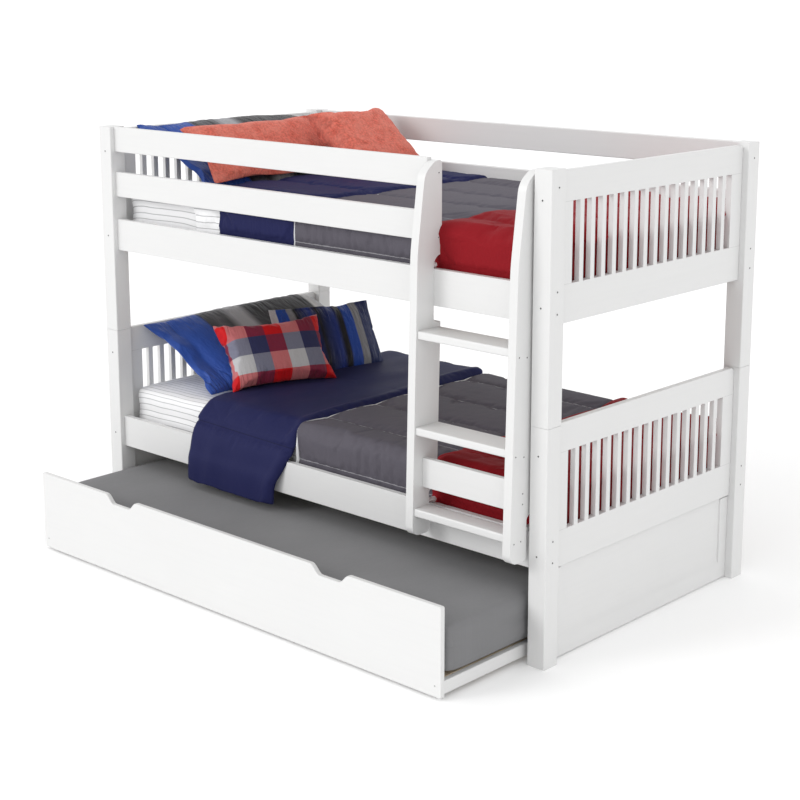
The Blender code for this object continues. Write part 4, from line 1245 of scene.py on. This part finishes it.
class BUNKBED_OT_shams(bpy.types.Operator):
    """Fills the banded satin shams"""

    bl_idname = "bunkbed.shams"
    bl_label = "Shams"

    def execute(self, context):
        pillows = settings("pillows")
        blue = four(pillows.blue)
        silver = four(pillows.silver)
        black = four(pillows.black)
        grey = four((0.075, 0.075, 0.085))
        dark = four((0.026, 0.026, 0.031))
        pale = four((0.46, 0.46, 0.46))
        steps = ((0.0, blue), (0.235, blue), (0.25, dark), (0.31, grey), (0.35, dark), (0.40, silver),
            (0.46, silver), (0.50, dark), (0.55, black), (0.60, dark), (0.64, black), (0.69, dark),
            (0.73, black), (0.78, dark), (0.84, black), (0.87, dark), (0.885, pale), (0.95, silver),
            (1.0, pale))
        finish = banded("sham_satin", steps)
        for node in ("lower_sham", "upper_sham"):
            pillow_piece(node, finish, "sham_stripe", 0.0055, pinch=0.03, flange=0.22, growth=0.09)
        return {"FINISHED"}


class BUNKBED_OT_cushions(bpy.types.Operator):
    """Fills the coral plush cushions"""

    bl_idname = "bunkbed.cushions"
    bl_label = "Coral cushions"

    def execute(self, context):
        finish = plush()
        for node in ("coral_pillow_left", "coral_pillow_right"):
            pillow_piece(node, finish, "coral_plush", 0.003, fuzz=0.0006)
        return {"FINISHED"}


class BUNKBED_OT_small_pillows(bpy.types.Operator):
    """Fills the plaid pillow and the small striped one"""

    bl_idname = "bunkbed.small_pillows"
    bl_label = "Small pillows"

    def execute(self, context):
        pillows = settings("pillows")
        blue = four((0.014, 0.055, 0.30))
        navy = four((0.012, 0.020, 0.085))
        deep = four((0.016, 0.034, 0.19))
        silver = four(pillows.silver, 0.7)
        black = four(pillows.black)
        steps = ((0.0, four((0.5, 0.5, 0.52))), (0.06, four((0.5, 0.5, 0.52))), (0.065, blue),
            (0.16, blue), (0.17, silver), (0.22, silver), (0.24, black), (0.38, deep), (0.45, black),
            (0.50, navy), (0.60, deep), (0.64, black), (0.68, black), (0.70, blue), (0.79, blue),
            (0.80, silver), (0.87, silver), (0.88, navy), (1.0, navy))
        pillow_piece("striped_pillow", banded("pillow_satin", steps), "pillow_stripe", 0.0045, growth=0.09)
        pillow_piece("plaid_pillow", plaid(), "plaid", 0.0045, growth=0.09)
        return {"FINISHED"}


# Studio


class BUNKBED_OT_studio(bpy.types.Operator):
    """Sets the floor, the lights and the camera"""

    bl_idname = "bunkbed.studio"
    bl_label = "Studio"

    def execute(self, context):
        studio = settings("studio")
        scene = context.scene
        bm = bmesh.new()
        bmesh.ops.create_circle(bm, cap_ends=True, radius=600, segments=96)
        floor_obj = linked("studio_floor", mesh_of("studio_floor", bm))
        made, tree, shader = material("floor_paper", 0.9, specular=0.1)
        tone = grain(solid_place(tree), 0.7, 1.0)
        colour = blend(tone, four(studio.floor, 0.995), four(studio.floor, 1.005))
        colour.into(shader.inputs["Base Color"])
        shader.inputs["Emission Color"].default_value = (1.0, 1.0, 1.0, 1.0)
        shader.inputs["Emission Strength"].default_value = studio.floor_glow
        floor_obj.data.materials.append(made)

        sky = bpy.data.worlds.new("soft_sky")
        sky.use_nodes = True
        background = sky.node_tree.nodes["Background"]
        background.inputs["Color"].default_value = (1.0, 1.0, 1.0, 1.0)
        rise = parts(add(sky.node_tree, "TexCoord", output="Generated"))[2]
        glow = between(rise, studio.low_sky, studio.high_sky, 0.1, 0.8)
        glow.into(background.inputs["Strength"])
        scene.world = sky
        rows = (("key_light", 25, -30, 25, studio.key), ("fill_light", 25, 65, 45, studio.fill))
        for name, height, turn, spread, power in rows:
            lamp = bpy.data.lights.new(name, "SUN")
            lamp.angle = radians(spread)
            lamp.energy = power
            obj = linked(name, lamp)
            up, round_bed = radians(height), radians(turn)
            away = Vector((cos(up) * sin(round_bed), -cos(up) * cos(round_bed), sin(up)))
            obj.rotation_euler = away.to_track_quat("Z", "Y").to_euler()

        view = bpy.data.cameras.new("photo_camera")
        view.sensor_width = 36
        view.lens = 1.6418 / 0.8 * 36
        view.shift_y = -0.10
        view.clip_end = 2000
        camera = linked("photo_camera", view)
        yaw, pitch, roll = 2.3188, -0.2058, -0.0012
        ahead = Vector((cos(yaw) * cos(pitch), sin(yaw) * cos(pitch), sin(pitch)))
        side = ahead.cross(Vector((0, 0, 1))).normalized()
        up = side.cross(ahead)
        right = cos(roll) * side + sin(roll) * up
        above = cos(roll) * up - sin(roll) * side
        camera.matrix_world = Matrix.Translation((4.7783 + head_end, -3.5721 + front_face,
            1.9846)) @ Matrix((right, above, -ahead)).transposed().to_4x4()
        scene.camera = camera
        scene.view_settings.view_transform = "Standard"
        return {"FINISHED"}


class BUNKBED_PT_panel(bpy.types.Panel):
    """Lists the bed's settings and the steps that dress it"""

    bl_idname = "BUNKBED_PT_panel"
    bl_label = "Bunk Bed"
    bl_space_type = "VIEW_3D"
    bl_region_type = "UI"
    bl_category = "Bunk Bed"

    def draw(self, context):
        for operator in operators:
            self.layout.operator(operator.bl_idname)
        for group in groups:
            box = self.layout.box()
            box.label(text=group.__doc__)
            for key in group.__annotations__:
                box.prop(settings(group.__name__.removeprefix("BUNKBED_")), key)


groups = (BUNKBED_timber, BUNKBED_bedding, BUNKBED_pillows, BUNKBED_studio)
operators = (BUNKBED_OT_studio, BUNKBED_OT_boards, BUNKBED_OT_panels, BUNKBED_OT_stringers,
    BUNKBED_OT_slats, BUNKBED_OT_casters, BUNKBED_OT_bolts, BUNKBED_OT_mattresses, BUNKBED_OT_comforters,
    BUNKBED_OT_turned_fold, BUNKBED_OT_piping, BUNKBED_OT_shams, BUNKBED_OT_cushions,
    BUNKBED_OT_small_pillows)


def register():
    """Registers the classes and puts the settings on the scene."""
    for item in groups + operators + (BUNKBED_PT_panel,):
        bpy.utils.register_class(item)
    for group in groups:
        key = f"bunkbed_{group.__name__.removeprefix('BUNKBED_')}"
        setattr(bpy.types.Scene, key, PointerProperty(type=group))


def unregister():
    """Takes the settings off the scene and removes the classes."""
    for group in groups:
        delattr(bpy.types.Scene, f"bunkbed_{group.__name__.removeprefix('BUNKBED_')}")
    for item in reversed(groups + operators + (BUNKBED_PT_panel,)):
        bpy.utils.unregister_class(item)


def main():
    """Registers the classes and dresses the bed."""
    register()
    for operator in operators:
        group, name = operator.bl_idname.split(".")
        getattr(getattr(bpy.ops, group), name)()


if __name__ == "__main__":
    main()
